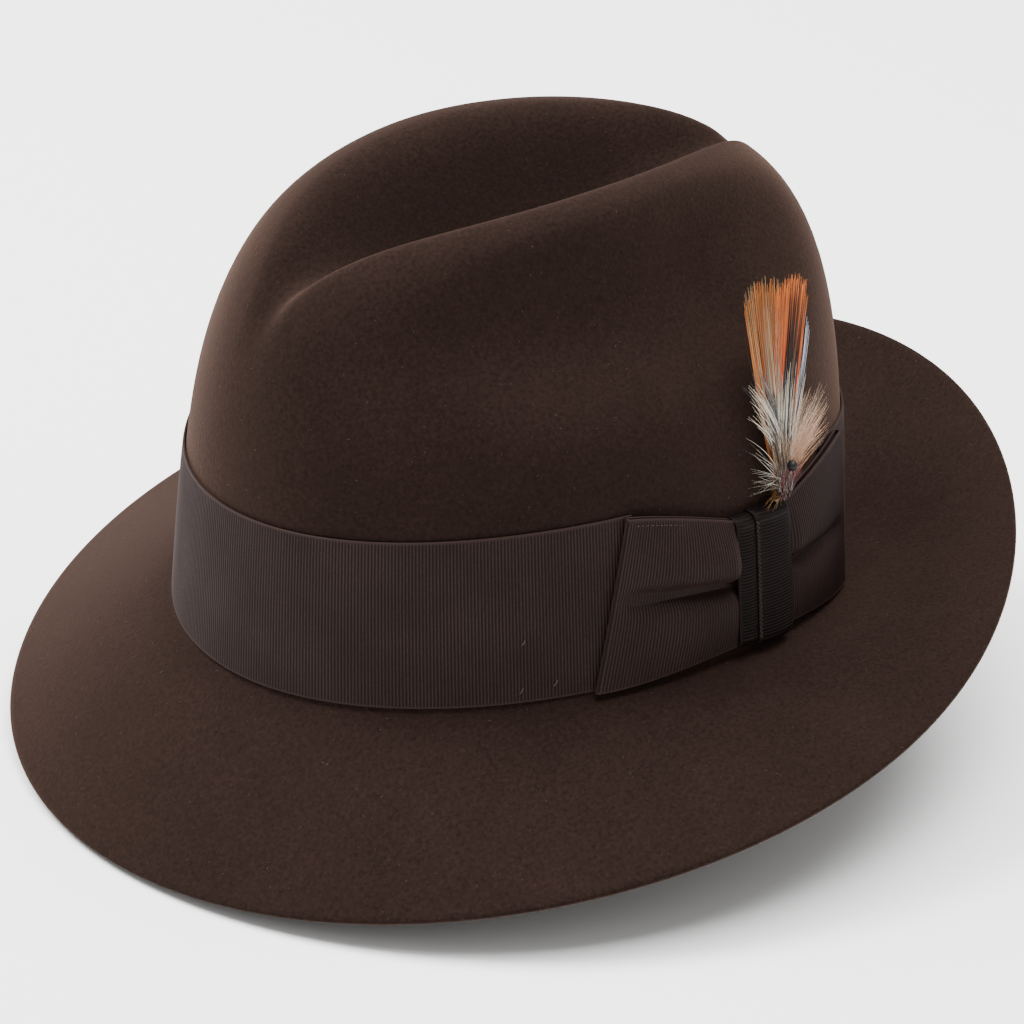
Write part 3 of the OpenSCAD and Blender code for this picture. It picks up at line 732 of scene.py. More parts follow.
# In the plume's own frame +Z runs up the quill, -X comes out of the hat and +Y goes forward
plume_frame = (Matrix.Translation(Vector(feather_foot) * MM) @ Matrix.Rotation(swing, 4, "Z")
               @ Matrix.Rotation(lean, 4, "Y"))

# A fan of barbs: each is a thin three-sided blade that tapers to a point. Its root and tip are
# set by its place in the fan, and random draws make the tips ragged and the blades uneven.
barb_fan, given = geometry_tree("barb_fan", {
    "Barbs": "Int", "Root Width": "Float", "Root Height": "Float", "Root Spread": "Float",
    "Tip Width": "Float", "Tip Shift": "Float", "Tip Height": "Float", "Ragged": "Float",
    "Droop": "Float", "Ease": "Float", "Fray": "Float", "Lift": "Float", "Layer": "Float",
    "Curl Out": "Float", "Barb Width": "Float", "Seed": "Int"})


def times(first, second):
    return result_of(barb_fan, "MULTIPLY", first, second)


def plus(first, second):
    return result_of(barb_fan, "ADD", first, second)


def minus(first, second):
    return result_of(barb_fan, "SUBTRACT", first, second)


blade = add_node(barb_fan, "GeometryNodeMeshCone", {"Vertices": 3, "Side Segments": 9, "Radius Top": 0.12,
                                                    "Radius Bottom": 1.0, "Depth": 1.0})
spot = add_node(barb_fan, "GeometryNodeInputPosition")
marked = add_node(barb_fan, "GeometryNodeStoreNamedAttribute",
                  {"data_type": "FLOAT_VECTOR", "Name": "blade"},
                  {"Geometry": blade.outputs["Mesh"], "Value": spot.outputs["Position"]})
seeds = add_node(barb_fan, "GeometryNodePoints", links={"Count": given["Barbs"]})
planted = add_node(barb_fan, "GeometryNodeInstanceOnPoints",
                   links={"Points": seeds.outputs["Geometry"], "Instance": marked.outputs["Geometry"]})
draw = add_node(barb_fan, "FunctionNodeRandomValue",
                {"data_type": "FLOAT_VECTOR", 0: (-1.0, -1.0, -1.0), 1: (1.0, 1.0, 1.0)},
                {"Seed": given["Seed"]})
drawn = add_node(barb_fan, "GeometryNodeStoreNamedAttribute",
                 {"data_type": "FLOAT_VECTOR", "domain": "INSTANCE", "Name": "chance"},
                 {"Geometry": planted.outputs["Instances"], "Value": draw.outputs[0]})
number = add_node(barb_fan, "GeometryNodeInputIndex")
last = minus(given["Barbs"], 1.0)
share = minus(result_of(barb_fan, "DIVIDE", number.outputs["Index"], last), 0.5)
fanned = add_node(barb_fan, "GeometryNodeStoreNamedAttribute",
                  {"data_type": "FLOAT", "domain": "INSTANCE", "Name": "fan"},
                  {"Geometry": drawn.outputs["Geometry"], "Value": share})
real = add_node(barb_fan, "GeometryNodeRealizeInstances", links={"Geometry": fanned.outputs["Geometry"]})
fan = add_node(barb_fan, "GeometryNodeInputNamedAttribute",
               {"data_type": "FLOAT", "Name": "fan"}).outputs[0]
chance = add_node(barb_fan, "GeometryNodeInputNamedAttribute",
                  {"data_type": "FLOAT_VECTOR", "Name": "chance"})
chances = add_node(barb_fan, "ShaderNodeSeparateXYZ", links={"Vector": chance.outputs["Attribute"]}).outputs
local = add_node(barb_fan, "GeometryNodeInputNamedAttribute",
                 {"data_type": "FLOAT_VECTOR", "Name": "blade"})
blade_at = add_node(barb_fan, "ShaderNodeSeparateXYZ", links={"Vector": local.outputs["Attribute"]}).outputs
along = blade_at["Z"]
eased = result_of(barb_fan, "POWER", along, given["Ease"])
root_side = times(fan, given["Root Width"])
tip_spread = times(fan, given["Tip Width"])
tip_even = plus(tip_spread, given["Tip Shift"])
tip_side = plus(tip_even, times(chances["X"], given["Fray"]))
side_way = times(minus(tip_side, root_side), eased)
side = plus(root_side, side_way)
root_way = times(chances["Y"], given["Root Spread"])
root_up = plus(given["Root Height"], root_way)
fan_square = times(times(fan, fan), 4.0)
sunk = times(fan_square, given["Droop"])
drooped = minus(given["Tip Height"], sunk)
tip_up = plus(drooped, times(chances["Z"], given["Ragged"]))
up_way = times(minus(tip_up, root_up), along)
up = plus(root_up, up_way)
lifted = plus(given["Lift"], times(chances["X"], given["Layer"]))
curled = times(times(along, along), given["Curl Out"])
front = plus(lifted, curled)
wide = times(blade_at["X"], given["Barb Width"])
thick = times(times(blade_at["Y"], given["Barb Width"]), 0.5)
set_out = minus(thick, front)
set_side = plus(side, wide)
where = add_node(barb_fan, "ShaderNodeCombineXYZ", links={"X": set_out, "Y": set_side, "Z": up})
moved = add_node(barb_fan, "GeometryNodeSetPosition",
                 links={"Geometry": real.outputs["Geometry"], "Position": where.outputs["Vector"]})
close_tree(barb_fan, given, moved.outputs["Geometry"])


def barb_material(name, root_code, middle_code, tip_code, odd_code, odd_share, sheen):
    """Feather barbs: fine horny blades with a silky gloss, paler and darker at random. Their tone
    runs from root to tip, and a share of them takes an odd tone."""
    material, tree, shader = new_material(name, Roughness=0.5, Specular_IOR_Level=0.15, Sheen_Weight=sheen,
                                          Sheen_Roughness=0.3)
    chance = add_node(tree, "ShaderNodeAttribute", {"attribute_name": "chance"})
    parts = add_node(tree, "ShaderNodeSeparateXYZ", links={"Vector": chance.outputs["Vector"]})
    blade = add_node(tree, "ShaderNodeAttribute", {"attribute_name": "blade"})
    height = add_node(tree, "ShaderNodeSeparateXYZ", links={"Vector": blade.outputs["Vector"]})
    tone = tone_of(tree, height.outputs["Z"], (0.1, root_code), (0.5, middle_code), (0.8, tip_code))
    odd = result_of(tree, "GREATER_THAN", parts.outputs["Z"], 1 - 2 * odd_share)
    mixed = add_node(tree, "ShaderNodeMix", {"data_type": "RGBA", 7: srgb(odd_code)},
                     {"Factor": odd, 6: tone})
    shade = add_node(tree, "ShaderNodeMapRange", {"From Min": -1.0, "From Max": 1.0, "To Min": 0.62,
                                                  "To Max": 1.15}, {"Value": parts.outputs["Y"]})
    shaded = add_node(tree, "ShaderNodeVectorMath", {"operation": "SCALE"},
                      {"Vector": mixed.outputs[2], "Scale": shade.outputs["Result"]})
    tree.links.new(shaded.outputs["Vector"], shader.inputs["Base Color"])
    return material


orange_barb = barb_material("dyed_orange_hackle", "#a83c10", "#c94e12", "#c5641f", "#7a5636", 0.06, 0.2)
amber_barb = barb_material("dyed_amber_hackle", "#a05520", "#b8601a", "#ad6424", "#9a7f5c", 0.15, 0.2)
dark_barb = barb_material("dark_brown_hackle", "#1a100c", "#20140e", "#281a12", "#50331d", 0.15, 0.0)
straw_barb = barb_material("straw_hackle", "#c2b49c", "#b3a187", "#96805f", "#6e675e", 0.2, 0.25)
slate_barb = barb_material("slate_white_hackle", "#4a4c58", "#585b68", "#c2c6cf", "#d9dbe0", 0.2, 0.25)
cream_barb = barb_material("cream_hackle", "#8e8d8b", "#d6cfc2", "#dccfb8", "#55565a", 0.22, 0.3)
peach_barb = barb_material("peach_marabou_down", "#a07050", "#c69572", "#d2aa8c", "#a68a72", 0.3, 0.4)
tan_barb = barb_material("mottled_tan_down", "#4a3526", "#7a5f45", "#8d7152", "#3a2b20", 0.3, 0.3)
grey_barb = barb_material("blue_grey_down", "#3d434a", "#596069", "#6d737a", "#33363a", 0.3, 0.3)
red_barb = barb_material("red_dyed_tuft", "#330608", "#480a0d", "#5a1215", "#3f0a0c", 0.3, 0.2)
ochre_barb = barb_material("frayed_ochre_thread", "#4f371f", "#6e4f2e", "#8f6d40", "#54402a", 0.3, 0.1)


def fan_of_barbs(name, material, slot, nodes, **sizes):
    """Grows one fan in the plume's frame; sizes are in millimetres, except counts and shares."""
    plain = ("Barbs", "Seed", "Ease")
    given_sizes = {key: value if key in plain else value * MM for key, value in sizes.items()}
    piece = path_piece(name, [])
    grow(piece, barb_fan, Material=material, **given_sizes)
    piece.data.transform(plume_frame)
    if nodes:
        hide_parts(*nodes)
    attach(piece, "feather")
    return piece


fan_of_barbs("hackle_amber_side", amber_barb, "hackle_orange", ["hackle_orange"], Barbs=90, Root_Width=5.0,
             Root_Height=14.0, Root_Spread=6.0, Tip_Width=15.0, Tip_Shift=5.5, Tip_Height=64.0, Ragged=3.0,
             Droop=3.0, Ease=0.8, Fray=1.0, Lift=1.2, Layer=0.5, Curl_Out=1.0, Barb_Width=0.3, Seed=3)
fan_of_barbs("hackle_orange_side", orange_barb, "hackle_orange", [], Barbs=110, Root_Width=5.0,
             Root_Height=12.0, Root_Spread=6.0, Tip_Width=13.5, Tip_Shift=-6.5, Tip_Height=62.0, Ragged=2.6,
             Droop=3.5, Ease=0.75, Fray=0.8, Lift=1.6, Layer=0.5, Curl_Out=1.0, Barb_Width=0.32, Seed=5)
fan_of_barbs("hackle_dark_stripes", dark_barb, "hackle_orange", [], Barbs=18, Root_Width=3.0,
             Root_Height=18.0, Root_Spread=3.0, Tip_Width=6.0, Tip_Shift=-8.5, Tip_Height=61.0, Ragged=2.0,
             Droop=0.0, Ease=0.7, Fray=0.3, Lift=2.5, Layer=0.2, Curl_Out=0.8, Barb_Width=0.42, Seed=7)
fan_of_barbs("hackle_dark_fringe", dark_barb, "hackle_orange", [], Barbs=22, Root_Width=2.0,
             Root_Height=16.0, Root_Spread=5.0, Tip_Width=16.0, Tip_Shift=4.0, Tip_Height=58.0, Ragged=8.0,
             Droop=6.0, Ease=0.8, Fray=1.5, Lift=1.0, Layer=0.4, Curl_Out=0.6, Barb_Width=0.32, Seed=8)
fan_of_barbs("straw_streaks", straw_barb, "hackle_cream", [], Barbs=30, Root_Width=4.0,
             Root_Height=10.0, Root_Spread=4.0, Tip_Width=9.0, Tip_Shift=4.0, Tip_Height=54.0, Ragged=9.0,
             Droop=8.0, Ease=0.9, Fray=1.6, Lift=2.4, Layer=0.4, Curl_Out=0.6, Barb_Width=0.22, Seed=9)
fan_of_barbs("slate_white_side", slate_barb, "hackle_cream", [], Barbs=7, Root_Width=2.0,
             Root_Height=12.0, Root_Spread=3.0, Tip_Width=1.6, Tip_Shift=-14.2, Tip_Height=50.0, Ragged=5.0,
             Droop=3.0, Ease=0.45, Fray=0.5, Lift=1.0, Layer=0.3, Curl_Out=0.4, Barb_Width=0.24, Seed=11)
fan_of_barbs("cream_left_barbs", cream_barb, "hackle_cream", ["hackle_cream"], Barbs=56, Root_Width=-3.0,
             Root_Height=9.0, Root_Spread=5.0, Tip_Width=-7.0, Tip_Shift=12.5, Tip_Height=35.0, Ragged=9.0,
             Droop=2.0, Ease=1.9, Fray=3.0, Lift=3.0, Layer=0.8, Curl_Out=1.6, Barb_Width=0.26, Seed=13)
fan_of_barbs("cream_middle_barbs", cream_barb, "hackle_cream", [], Barbs=46, Root_Width=5.0,
             Root_Height=7.0, Root_Spread=3.0, Tip_Width=12.0, Tip_Shift=-3.5, Tip_Height=36.0, Ragged=8.0,
             Droop=5.0, Ease=0.9, Fray=1.5, Lift=3.4, Layer=0.6, Curl_Out=0.8, Barb_Width=0.25, Seed=15)
fan_of_barbs("grey_down_heart", grey_barb, "hackle_cream", [], Barbs=70, Root_Width=4.0,
             Root_Height=12.0, Root_Spread=5.0, Tip_Width=12.0, Tip_Shift=1.0, Tip_Height=29.0, Ragged=4.0,
             Droop=3.0, Ease=1.0, Fray=1.5, Lift=2.8, Layer=0.4, Curl_Out=0.2, Barb_Width=0.26, Seed=17)
fan_of_barbs("peach_down_right", peach_barb, "fluff", ["feather_fluff"], Barbs=260, Root_Width=5.0,
             Root_Height=9.0, Root_Spread=4.0, Tip_Width=12.0, Tip_Shift=-11.5, Tip_Height=23.0, Ragged=8.0,
             Droop=2.0, Ease=0.85, Fray=3.0, Lift=3.2, Layer=0.9, Curl_Out=1.4, Barb_Width=0.16, Seed=19)
fan_of_barbs("tan_down_left", tan_barb, "fluff", [], Barbs=150, Root_Width=5.0,
             Root_Height=7.0, Root_Spread=4.0, Tip_Width=9.0, Tip_Shift=1.5, Tip_Height=21.0, Ragged=6.0,
             Droop=2.0, Ease=1.0, Fray=2.0, Lift=3.4, Layer=0.8, Curl_Out=0.8, Barb_Width=0.2, Seed=21)
fan_of_barbs("wispy_left_ends", cream_barb, "fluff", [], Barbs=26, Root_Width=2.0,
             Root_Height=6.0, Root_Spread=3.0, Tip_Width=7.0, Tip_Shift=14.0, Tip_Height=16.0, Ragged=9.0,
             Droop=0.0, Ease=1.2, Fray=3.5, Lift=3.0, Layer=0.8, Curl_Out=2.0, Barb_Width=0.18, Seed=23)
fan_of_barbs("red_tuft_barbs", red_barb, "tuft", ["red_tuft"], Barbs=130, Root_Width=4.0,
             Root_Height=2.5, Root_Spread=1.5, Tip_Width=9.0, Tip_Shift=-2.8, Tip_Height=11.0, Ragged=2.0,
             Droop=2.0, Ease=1.0, Fray=1.0, Lift=3.2, Layer=0.8, Curl_Out=1.0, Barb_Width=0.28, Seed=25)
fan_of_barbs("frayed_thread_ends", ochre_barb, "binding", [], Barbs=40, Root_Width=1.5,
             Root_Height=4.0, Root_Spread=1.5, Tip_Width=12.0, Tip_Shift=5.0, Tip_Height=4.5, Ragged=6.0,
             Droop=-2.0, Ease=1.2, Fray=2.0, Lift=2.6, Layer=0.8, Curl_Out=1.6, Barb_Width=0.24, Seed=27)

# The quill is horn-like and pale, and it tapers upwards; the thread winds round it at the foot
quill_horn, tree, shader = new_material("pale_quill_horn", Roughness=0.35, Subsurface_Weight=0.1)
streaks = texture(tree, "Noise", Scale=700.0, Detail=2.0)["Fac"]
tree.links.new(tone_of(tree, streaks, (0.3, "#a89c84"), (0.7, "#cfc6b2")), shader.inputs["Base Color"])
quill = path_piece("feather_quill_shaft", [[(0, 0, z) for z in np.linspace(-quill_tuck, 40, 13)]])
grow(quill, thread_run, Thread_Radius=0.8 * MM, Taper=0.85, Sides=10, Material=quill_horn)
quill.data.transform(plume_frame)
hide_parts("feather_quill")
wrap_turns = 9
wrap = np.linspace(0, wrap_turns * 2 * np.pi, wrap_turns * 14)
coil = points(1.05 * np.cos(wrap), 1.05 * np.sin(wrap), 0.6 + 6.4 * wrap / wrap[-1])
tie = path_piece("feather_tie_thread", [coil])
grow(tie, thread_run, Thread_Radius=0.36 * MM, Taper=0.0, Sides=6, Material=ochre_barb)
tie.data.transform(plume_frame)
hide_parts("feather_binding")
for part in (quill, tie):
    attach(part, "feather")

# A small black glass bead: a worn, soft gloss over black
jet, tree, shader = new_material("black_glass_bead", Roughness=0.5, Specular_IOR_Level=0.25,
                                 Base_Color=srgb("#0d0b0b"))
bead_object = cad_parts["feather_bead"]
for material_slot in bead_object.material_slots:
    material_slot.material = jet

# ---- Lint ----
# Stray fur and pale lint lie scattered over the nap of the felt, each a thin fibre under 1 mm long
# that clings to the surface.
lint, given = geometry_tree("felt_lint", {"Hairs Per Area": "Float", "Hair Length": "Float",
                                          "Hair Radius": "Float", "Seed": "Int"})
nap = add_node(lint, "GeometryNodeDistributePointsOnFaces", None,
               {"Mesh": given["Geometry"], "Density": given["Hairs Per Area"], "Seed": given["Seed"]})
hair = add_node(lint, "GeometryNodeMeshCone", {"Vertices": 3, "Radius Top": 0.0},
                {"Radius Bottom": given["Hair Radius"], "Depth": given["Hair Length"]})
tilt = add_node(lint, "FunctionNodeRandomValue",
                {"data_type": "FLOAT_VECTOR", 0: (1.1, 0.0, 0.0), 1: (1.5, 0.3, 6.28)},
                {"Seed": given["Seed"]})
stretch = add_node(lint, "FunctionNodeRandomValue",
                   {"data_type": "FLOAT_VECTOR", 0: (0.7, 0.7, 0.4), 1: (1.0, 1.0, 1.6)},
                   {"Seed": given["Seed"]})
laid = add_node(lint, "FunctionNodeRotateRotation", {"rotation_space": "LOCAL"},
                {"Rotation": nap.outputs["Rotation"], "Rotate By": tilt.outputs[0]})
grown = add_node(lint, "GeometryNodeInstanceOnPoints", None,
                 {"Points": nap.outputs["Points"], "Instance": hair.outputs["Mesh"],
                  "Rotation": laid.outputs["Rotation"], "Scale": stretch.outputs[0]})
close_tree(lint, given, grown.outputs["Instances"])

# Lint fibre: dull pale cotton and fur, each patch a little different in tone
fibre, tree, shader = new_material("lint_fibre", Roughness=0.9)
kinds = texture(tree, "Noise", Scale=400.0)["Fac"]
tree.links.new(tone_of(tree, kinds, (0.35, "#4b3c35"), (0.65, "#8a7a6f")), shader.inputs["Base Color"])
lint_piece = bpy.data.objects.new("felt_lint_fibres", felt_piece.data.copy())
bpy.context.collection.objects.link(lint_piece)
grow(lint_piece, lint, Hairs_Per_Area=14000.0, Hair_Length=0.7 * MM, Hair_Radius=0.03 * MM, Seed=4,
     Material=fibre)
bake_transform(lint_piece)

# ---- Sweatband ----
# A 54 mm strip of roan leather, butted at the back, that lies inside the crown. Its lower edge is
# wrapped with a plastic reed in woven tape and locked with a row of pale waxed thread.
sweat_h = 54.0
sweat_d = 3.4
sweat_t = 1.0
reed_r = 0.9


def wall_inside(p, m, depth):
    """A point inside the crown wall at a depth square to it, in millimetres."""
    p, m = np.broadcast_arrays(np.asarray(p, float), np.asarray(m, float))
    level_m = np.maximum(m, 1)
    turn = 0.01
    around = wall_point(p + turn, level_m, 0) - wall_point(p - turn, level_m, 0)
    rising = wall_point(p, level_m + 1, 0) - wall_point(p, level_m - 1, 0)
    return wall_point(p, m, 0) - np.asarray(depth)[..., None] * unit(np.cross(around, rising))


def lining_ring(name, heights, depth, thickness, turns):
    """A closed ring inside the crown, from a grid of heights and its depths below the felt."""
    p_ring = (np.arange(turns) * 2 * np.pi / turns)[:, None]
    p_ring, heights = np.broadcast_arrays(p_ring, heights)
    depth = np.broadcast_to(depth, p_ring.shape)
    return closed_mesh(name, wall_inside(p_ring, heights, depth),
                       wall_inside(p_ring, heights, depth + thickness), ring=True)


# Roan leather: a pebble grain of small creased cells about 0.9 mm across, semi-gloss finish,
# darker in the creases and mottled in tone by its tanning.
leather, tree, shader = new_material("roan_leather", Roughness=0.45, Coat_Weight=0.1, Coat_Roughness=0.4)
cells = texture(tree, "Voronoi", Scale=1100.0, feature="DISTANCE_TO_EDGE")["Distance"]
hide = texture(tree, "Noise", Scale=50.0, Detail=4.0)["Fac"]
hide_tone = tone_of(tree, hide, (0.3, "#5f3f27"), (0.7, "#7b5535"))
crease_tone = tone_of(tree, cells, (0.0, "#8c7a6c"), (0.2, "#ffffff"))
tree.links.new(darkened(tree, hide_tone, crease_tone), shader.inputs["Base Color"])
roughen(tree, shader, cells, 0.5, 0.0002)

# Two lines are creased into the leather near its top, and its edges are turned thin
creased_at = (46.6, 49.1)
sweat_m = np.concatenate([[0, 0.3, 1], np.linspace(3, 44, 12), [46, 46.6, 47.2, 48.5, 49.1, 49.7, 52],
                          [sweat_h - 0.6, sweat_h]])
line_sink = np.where(np.isin(sweat_m, creased_at), 0.3, 0.0)
thin = np.where((sweat_m < 0.2) | (sweat_m > sweat_h - 0.2), 0.35, 0.0)
ease = 0.25 * np.sin(7 * np.arange(300) * 2 * np.pi / 300)[:, None] * smooth(20, 54, sweat_m)
sweatband = lining_ring("leather_sweatband", sweat_m[None, :], sweat_d + 0.15 + thin + ease * 0.5,
                        sweat_t - 0.15 - thin - line_sink, 300)
sweatband.data.materials.append(leather)
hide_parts("sweatband")
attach(sweatband, "hat")

ring_turns = np.linspace(0, 2 * np.pi, 361)
# Extruded plastic under brown varnished tape: smooth, faintly cloudy, with a soft shine
reed_plastic, tree, shader = new_material("taped_reed_plastic", Roughness=0.4)
scuff = texture(tree, "Noise", Scale=300.0)["Fac"]
tree.links.new(tone_of(tree, scuff, (0.3, "#4f3f33"), (0.7, "#6a5646")), shader.inputs["Base Color"])
reed = path_piece("sweatband_reed_rod", [wall_inside(ring_turns, -reed_r - 0.15, sweat_d + sweat_t / 2)])
grow(reed, thread_run, Thread_Radius=reed_r * MM, Taper=0.0, Sides=10, Material=reed_plastic)
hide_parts("sweatband_reed")
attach(reed, "hat")

# Black woven tape: a fine plain weave, dull
black_tape, tree, shader = new_material("black_woven_tape", Roughness=0.85, Specular_IOR_Level=0.2)
weave = texture(tree, "Checker", Scale=2500.0, Color1=srgb("#1c1918"), Color2=srgb("#332e2c"))
tree.links.new(weave["Color"], shader.inputs["Base Color"])
roughen(tree, shader, weave["Fac"], 0.3, 0.0001)
tape = lining_ring("reed_tape_strip", np.linspace(-1, 9, 8)[None, :], felt_t + 0.3, 0.3, 240)
tape.data.materials.append(black_tape)
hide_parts("reed_tape")
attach(tape, "hat")

# Waxed linen thread: pale, round and slightly shiny
waxed_thread, tree, shader = new_material("waxed_linen_thread", Roughness=0.5)
plies = texture(tree, "Noise", Scale=2200.0)["Fac"]
tree.links.new(tone_of(tree, plies, (0.3, "#a8977a"), (0.7, "#cdbd9f")), shader.inputs["Base Color"])
inside_d = sweat_d + sweat_t
lock_row = path_piece("sweatband_lock_stitches", [wall_inside(ring_turns, 2.85, inside_d + 0.2)])
grow(lock_row, running_stitch, Stitch_Pitch=3.0 * MM, Stitch_Length=2.3 * MM, Thread_Radius=0.28 * MM,
     Material=waxed_thread)
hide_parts("sweatband_stitch")
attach(lock_row, "hat")

# The butted ends of the leather are backed by a narrow strip and crossed by zigzag stitches
seam_p, seam_m = np.meshgrid(np.radians(np.linspace(177.5, 182.5, 9)), np.linspace(10, 51, 24),
                             indexing="ij")
seam_crown = 0.12 * np.sin(np.pi * np.linspace(0, 1, 9))[:, None]
seam_tape = closed_mesh("sweatband_seam_strip", wall_inside(seam_p, seam_m, inside_d + 0.25 + 0 * seam_m),
                        wall_inside(seam_p, seam_m, inside_d + 0.6 + seam_crown + 0 * seam_m))
seam_tape.data.materials.append(leather)
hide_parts("sweatband_seam_tape")
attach(seam_tape, "hat")
cross_m = np.linspace(11, 50, 27)
cross_p = np.radians(180 + 1.5 * (-1.0) ** np.arange(27))
cross_row = path_piece("sweatband_seam_stitches", [wall_inside(cross_p, cross_m, inside_d + 0.85)])
grow(cross_row, thread_run, Thread_Radius=0.2 * MM, Taper=0.0, Sides=6, Material=waxed_thread)
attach(cross_row, "hat")

# A tiny flat bow of the same tape marks the back: two loops, made as one figure-of-eight strip
bow_run = np.linspace(0, 2 * np.pi, 97)
loop_p = 180 + 5.2 * np.sin(bow_run)
loop_sway = 1.1 * np.sin(2 * bow_run)
loop_depth = inside_d + 1.05 + 0.3 * np.cos(2 * bow_run)
loop_half = 1.0 + 0.8 * np.abs(np.sin(bow_run))
loop_grid_p = np.radians(loop_p)[:, None] + np.zeros(2)
loop_m = 6.6 + loop_sway[:, None] + loop_half[:, None] * np.array([1.0, -1.0])
loop_grid_depth = loop_depth[:, None] + 0 * loop_m
back_bow = closed_mesh("sweatband_back_bow", wall_inside(loop_grid_p, loop_m, loop_grid_depth),
                       wall_inside(loop_grid_p, loop_m, loop_grid_depth + 0.3))
back_bow.data.materials.append(black_tape)
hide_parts("sweatband_bow")
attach(back_bow, "hat")

# ---- Lining ----
# Brown satin: a side piece gathered in small pleats up to the tip, an oval tip piece, a corded
# piping over their seam, and a clear film shield sewn over the tip.
lining_d = 2.6
lining_t = 0.5
lining_lift = 12.0
tip_d = 3.2
piping_r = 0.7
cover_gap = 0.6
cover_t = 0.35
# Levels up the felt, as face_point takes them: 3 is the top of the wall, 4 the middle of the tip
lining_to = 2.985
tip_from = 3.012
tip_to = 3.98
cover_from = 3.45

# Satin: long silky highlights along its threads, a slightly cloudy tone
satin, tree, shader = new_material("brown_satin", Roughness=0.38, Sheen_Weight=0.4, Sheen_Roughness=0.3,
                                   Anisotropic=0.4)
slub = texture(tree, "Noise", Scale=120.0, Detail=5.0)["Fac"]
tree.links.new(tone_of(tree, slub, (0.3, "#4a3b35"), (0.7, "#65544c")), shader.inputs["Base Color"])
roughen(tree, shader, slub, 0.15, 0.0002)

lining_turns = 540
pleats = 90
lining_from = 2 + (lining_lift / crown_h - bend_h) / (wall_top - bend_h)
p_grid, v_grid = np.meshgrid(np.arange(lining_turns) * 2 * np.pi / lining_turns,
                             np.linspace(lining_from, lining_to, 18), indexing="ij")
pleat_rise = 0.35 * smooth(lining_from, 3, v_grid) * (1 - np.cos(pleats * p_grid))
pleated_d = (lining_d + lining_t + pleat_rise)[..., None]
lining_side = closed_mesh("lining_side_satin", under(p_grid, v_grid, lining_d),
                          under(p_grid, v_grid, pleated_d), ring=True)
lining_side.data.materials.append(satin)
p_grid, v_grid = np.meshgrid(np.arange(144) * 2 * np.pi / 144, np.linspace(tip_from, tip_to, 28),
                             indexing="ij")
tip_pole = [tip_top - [0, 0, tip_d], tip_top - [0, 0, tip_d + lining_t]]
lining_tip = closed_mesh("lining_tip_satin", under(p_grid, v_grid, tip_d),
                         under(p_grid, v_grid, tip_d + lining_t), ring=True, caps=tip_pole)
lining_tip.data.materials.append(satin)
piping_satin, tree, shader = new_material("corded_satin_piping", Roughness=0.4, Sheen_Weight=0.3)
cord = texture(tree, "Wave", Scale=260.0, Distortion=1.0, bands_direction="DIAGONAL")["Fac"]
tree.links.new(tone_of(tree, cord, (0.0, "#2b211d"), (1.0, "#443630")), shader.inputs["Base Color"])
piping_line = under(ring_turns, 3.0, lining_d + lining_t + 0.12 + piping_r)
piping = path_piece("lining_piping_cord", [piping_line])
grow(piping, thread_run, Thread_Radius=piping_r * MM, Taper=0.0, Sides=8, Material=piping_satin)

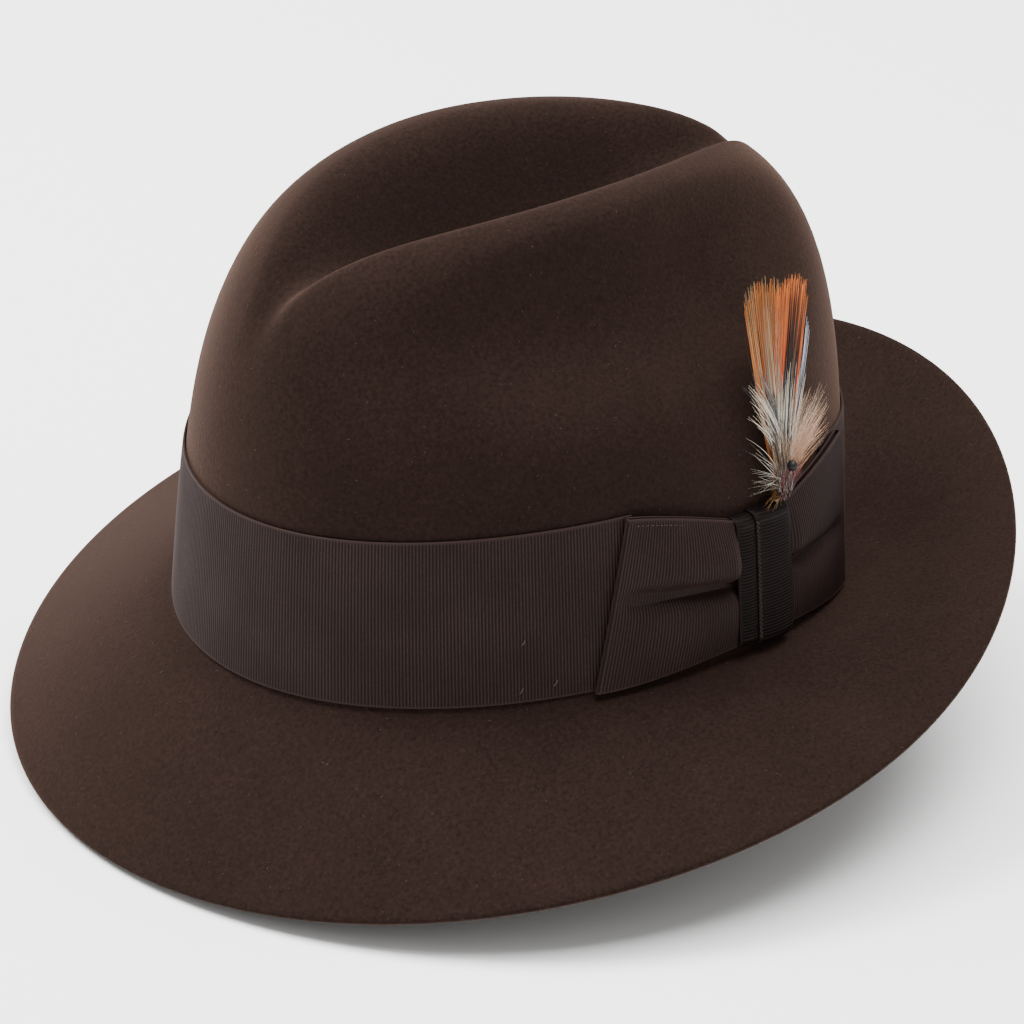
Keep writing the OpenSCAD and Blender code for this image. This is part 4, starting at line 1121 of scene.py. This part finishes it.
# Clear vinyl film: thin, glossy and see-through, with faint scuffs
film, tree, shader = new_material("clear_vinyl_film", Roughness=0.12, Alpha=0.18,
                                  Base_Color=srgb("#f2f2ee"))
roughen(tree, shader, texture(tree, "Noise", Scale=90.0, Detail=3.0)["Fac"], 0.2, 0.0005)
cover_d = tip_d + lining_t + cover_gap
p_grid, v_grid = np.meshgrid(np.arange(96) * 2 * np.pi / 96, np.linspace(cover_from, tip_to, 16),
                             indexing="ij")
cover_pole = [tip_top - [0, 0, cover_d], tip_top - [0, 0, cover_d + cover_t]]
cover = closed_mesh("tip_cover_film", under(p_grid, v_grid, cover_d),
                    under(p_grid, v_grid, cover_d + cover_t), ring=True, caps=cover_pole)
cover.data.materials.append(film)
for piece, node, slot_name in ((lining_side, "lining_side", "lining"), (lining_tip, "lining_tip", "lining"),
                               (piping, "lining_piping", "piping"), (cover, "tip_cover", "clear_cover")):
    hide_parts(node)
    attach(piece, "hat")


def path_length(line):
    """The length of a line of points given in millimetres, in metres."""
    return float(np.sum(np.linalg.norm(np.diff(line, axis=0), axis=1))) * MM


# Flat, the side piece is a strip as long as the crown's girth and as wide as it rises; the tip
# piece is a square of satin as wide as its own arc across
side_girth = path_length(under(ring_turns, 2.3, lining_d))
side_rise = path_length(under(math.pi / 2, np.linspace(lining_from, lining_to, 30), lining_d))
tip_across = 2 * path_length(under(math.pi / 2, np.linspace(tip_from, tip_to, 40), tip_d))
tip_along = path_length(under(0.0, np.linspace(tip_from, tip_to, 40), tip_d)) * 2

# ---- Floor and light ----
# A pale sweep just under the lowest point of the brim, a big soft source ahead and to the right
# of the hat, and a larger one overhead, in a white room.
floor_mesh = bpy.data.meshes.new("floor")
floor_gap = 0.0015
floor_z = cad_box[0][2] - floor_gap
floor_mesh.from_pydata([(-6, -6, floor_z), (6, -6, floor_z), (6, 6, floor_z), (-6, 6, floor_z)], [],
                       [(0, 1, 2, 3)])
floor = bpy.data.objects.new("floor", floor_mesh)
bpy.context.collection.objects.link(floor)
paper, tree, shader = new_material("white_paper_sweep", Roughness=0.9, Base_Color=srgb("#fbfbfa"))
floor_mesh.materials.append(paper)

world = bpy.data.worlds.new("studio")
world.use_nodes = True
world.node_tree.nodes["Background"].inputs["Color"].default_value = srgb("#ffffff")
world.node_tree.nodes["Background"].inputs["Strength"].default_value = 0.7
bpy.context.scene.world = world


def soft_box(name, spot, size, power):
    lamp = bpy.data.lights.new(name, "AREA")
    lamp.shape = "SQUARE"
    lamp.size = size
    lamp.energy = power
    box = bpy.data.objects.new(name, lamp)
    box.location = spot
    box.rotation_euler = (-Vector(spot)).to_track_quat("-Z", "Y").to_euler()
    bpy.context.collection.objects.link(box)


soft_box("key_light", (0.7, -1.0, 1.7), 1.0, 98)
soft_box("top_light", (-0.4, 0.1, 2.2), 1.8, 124)
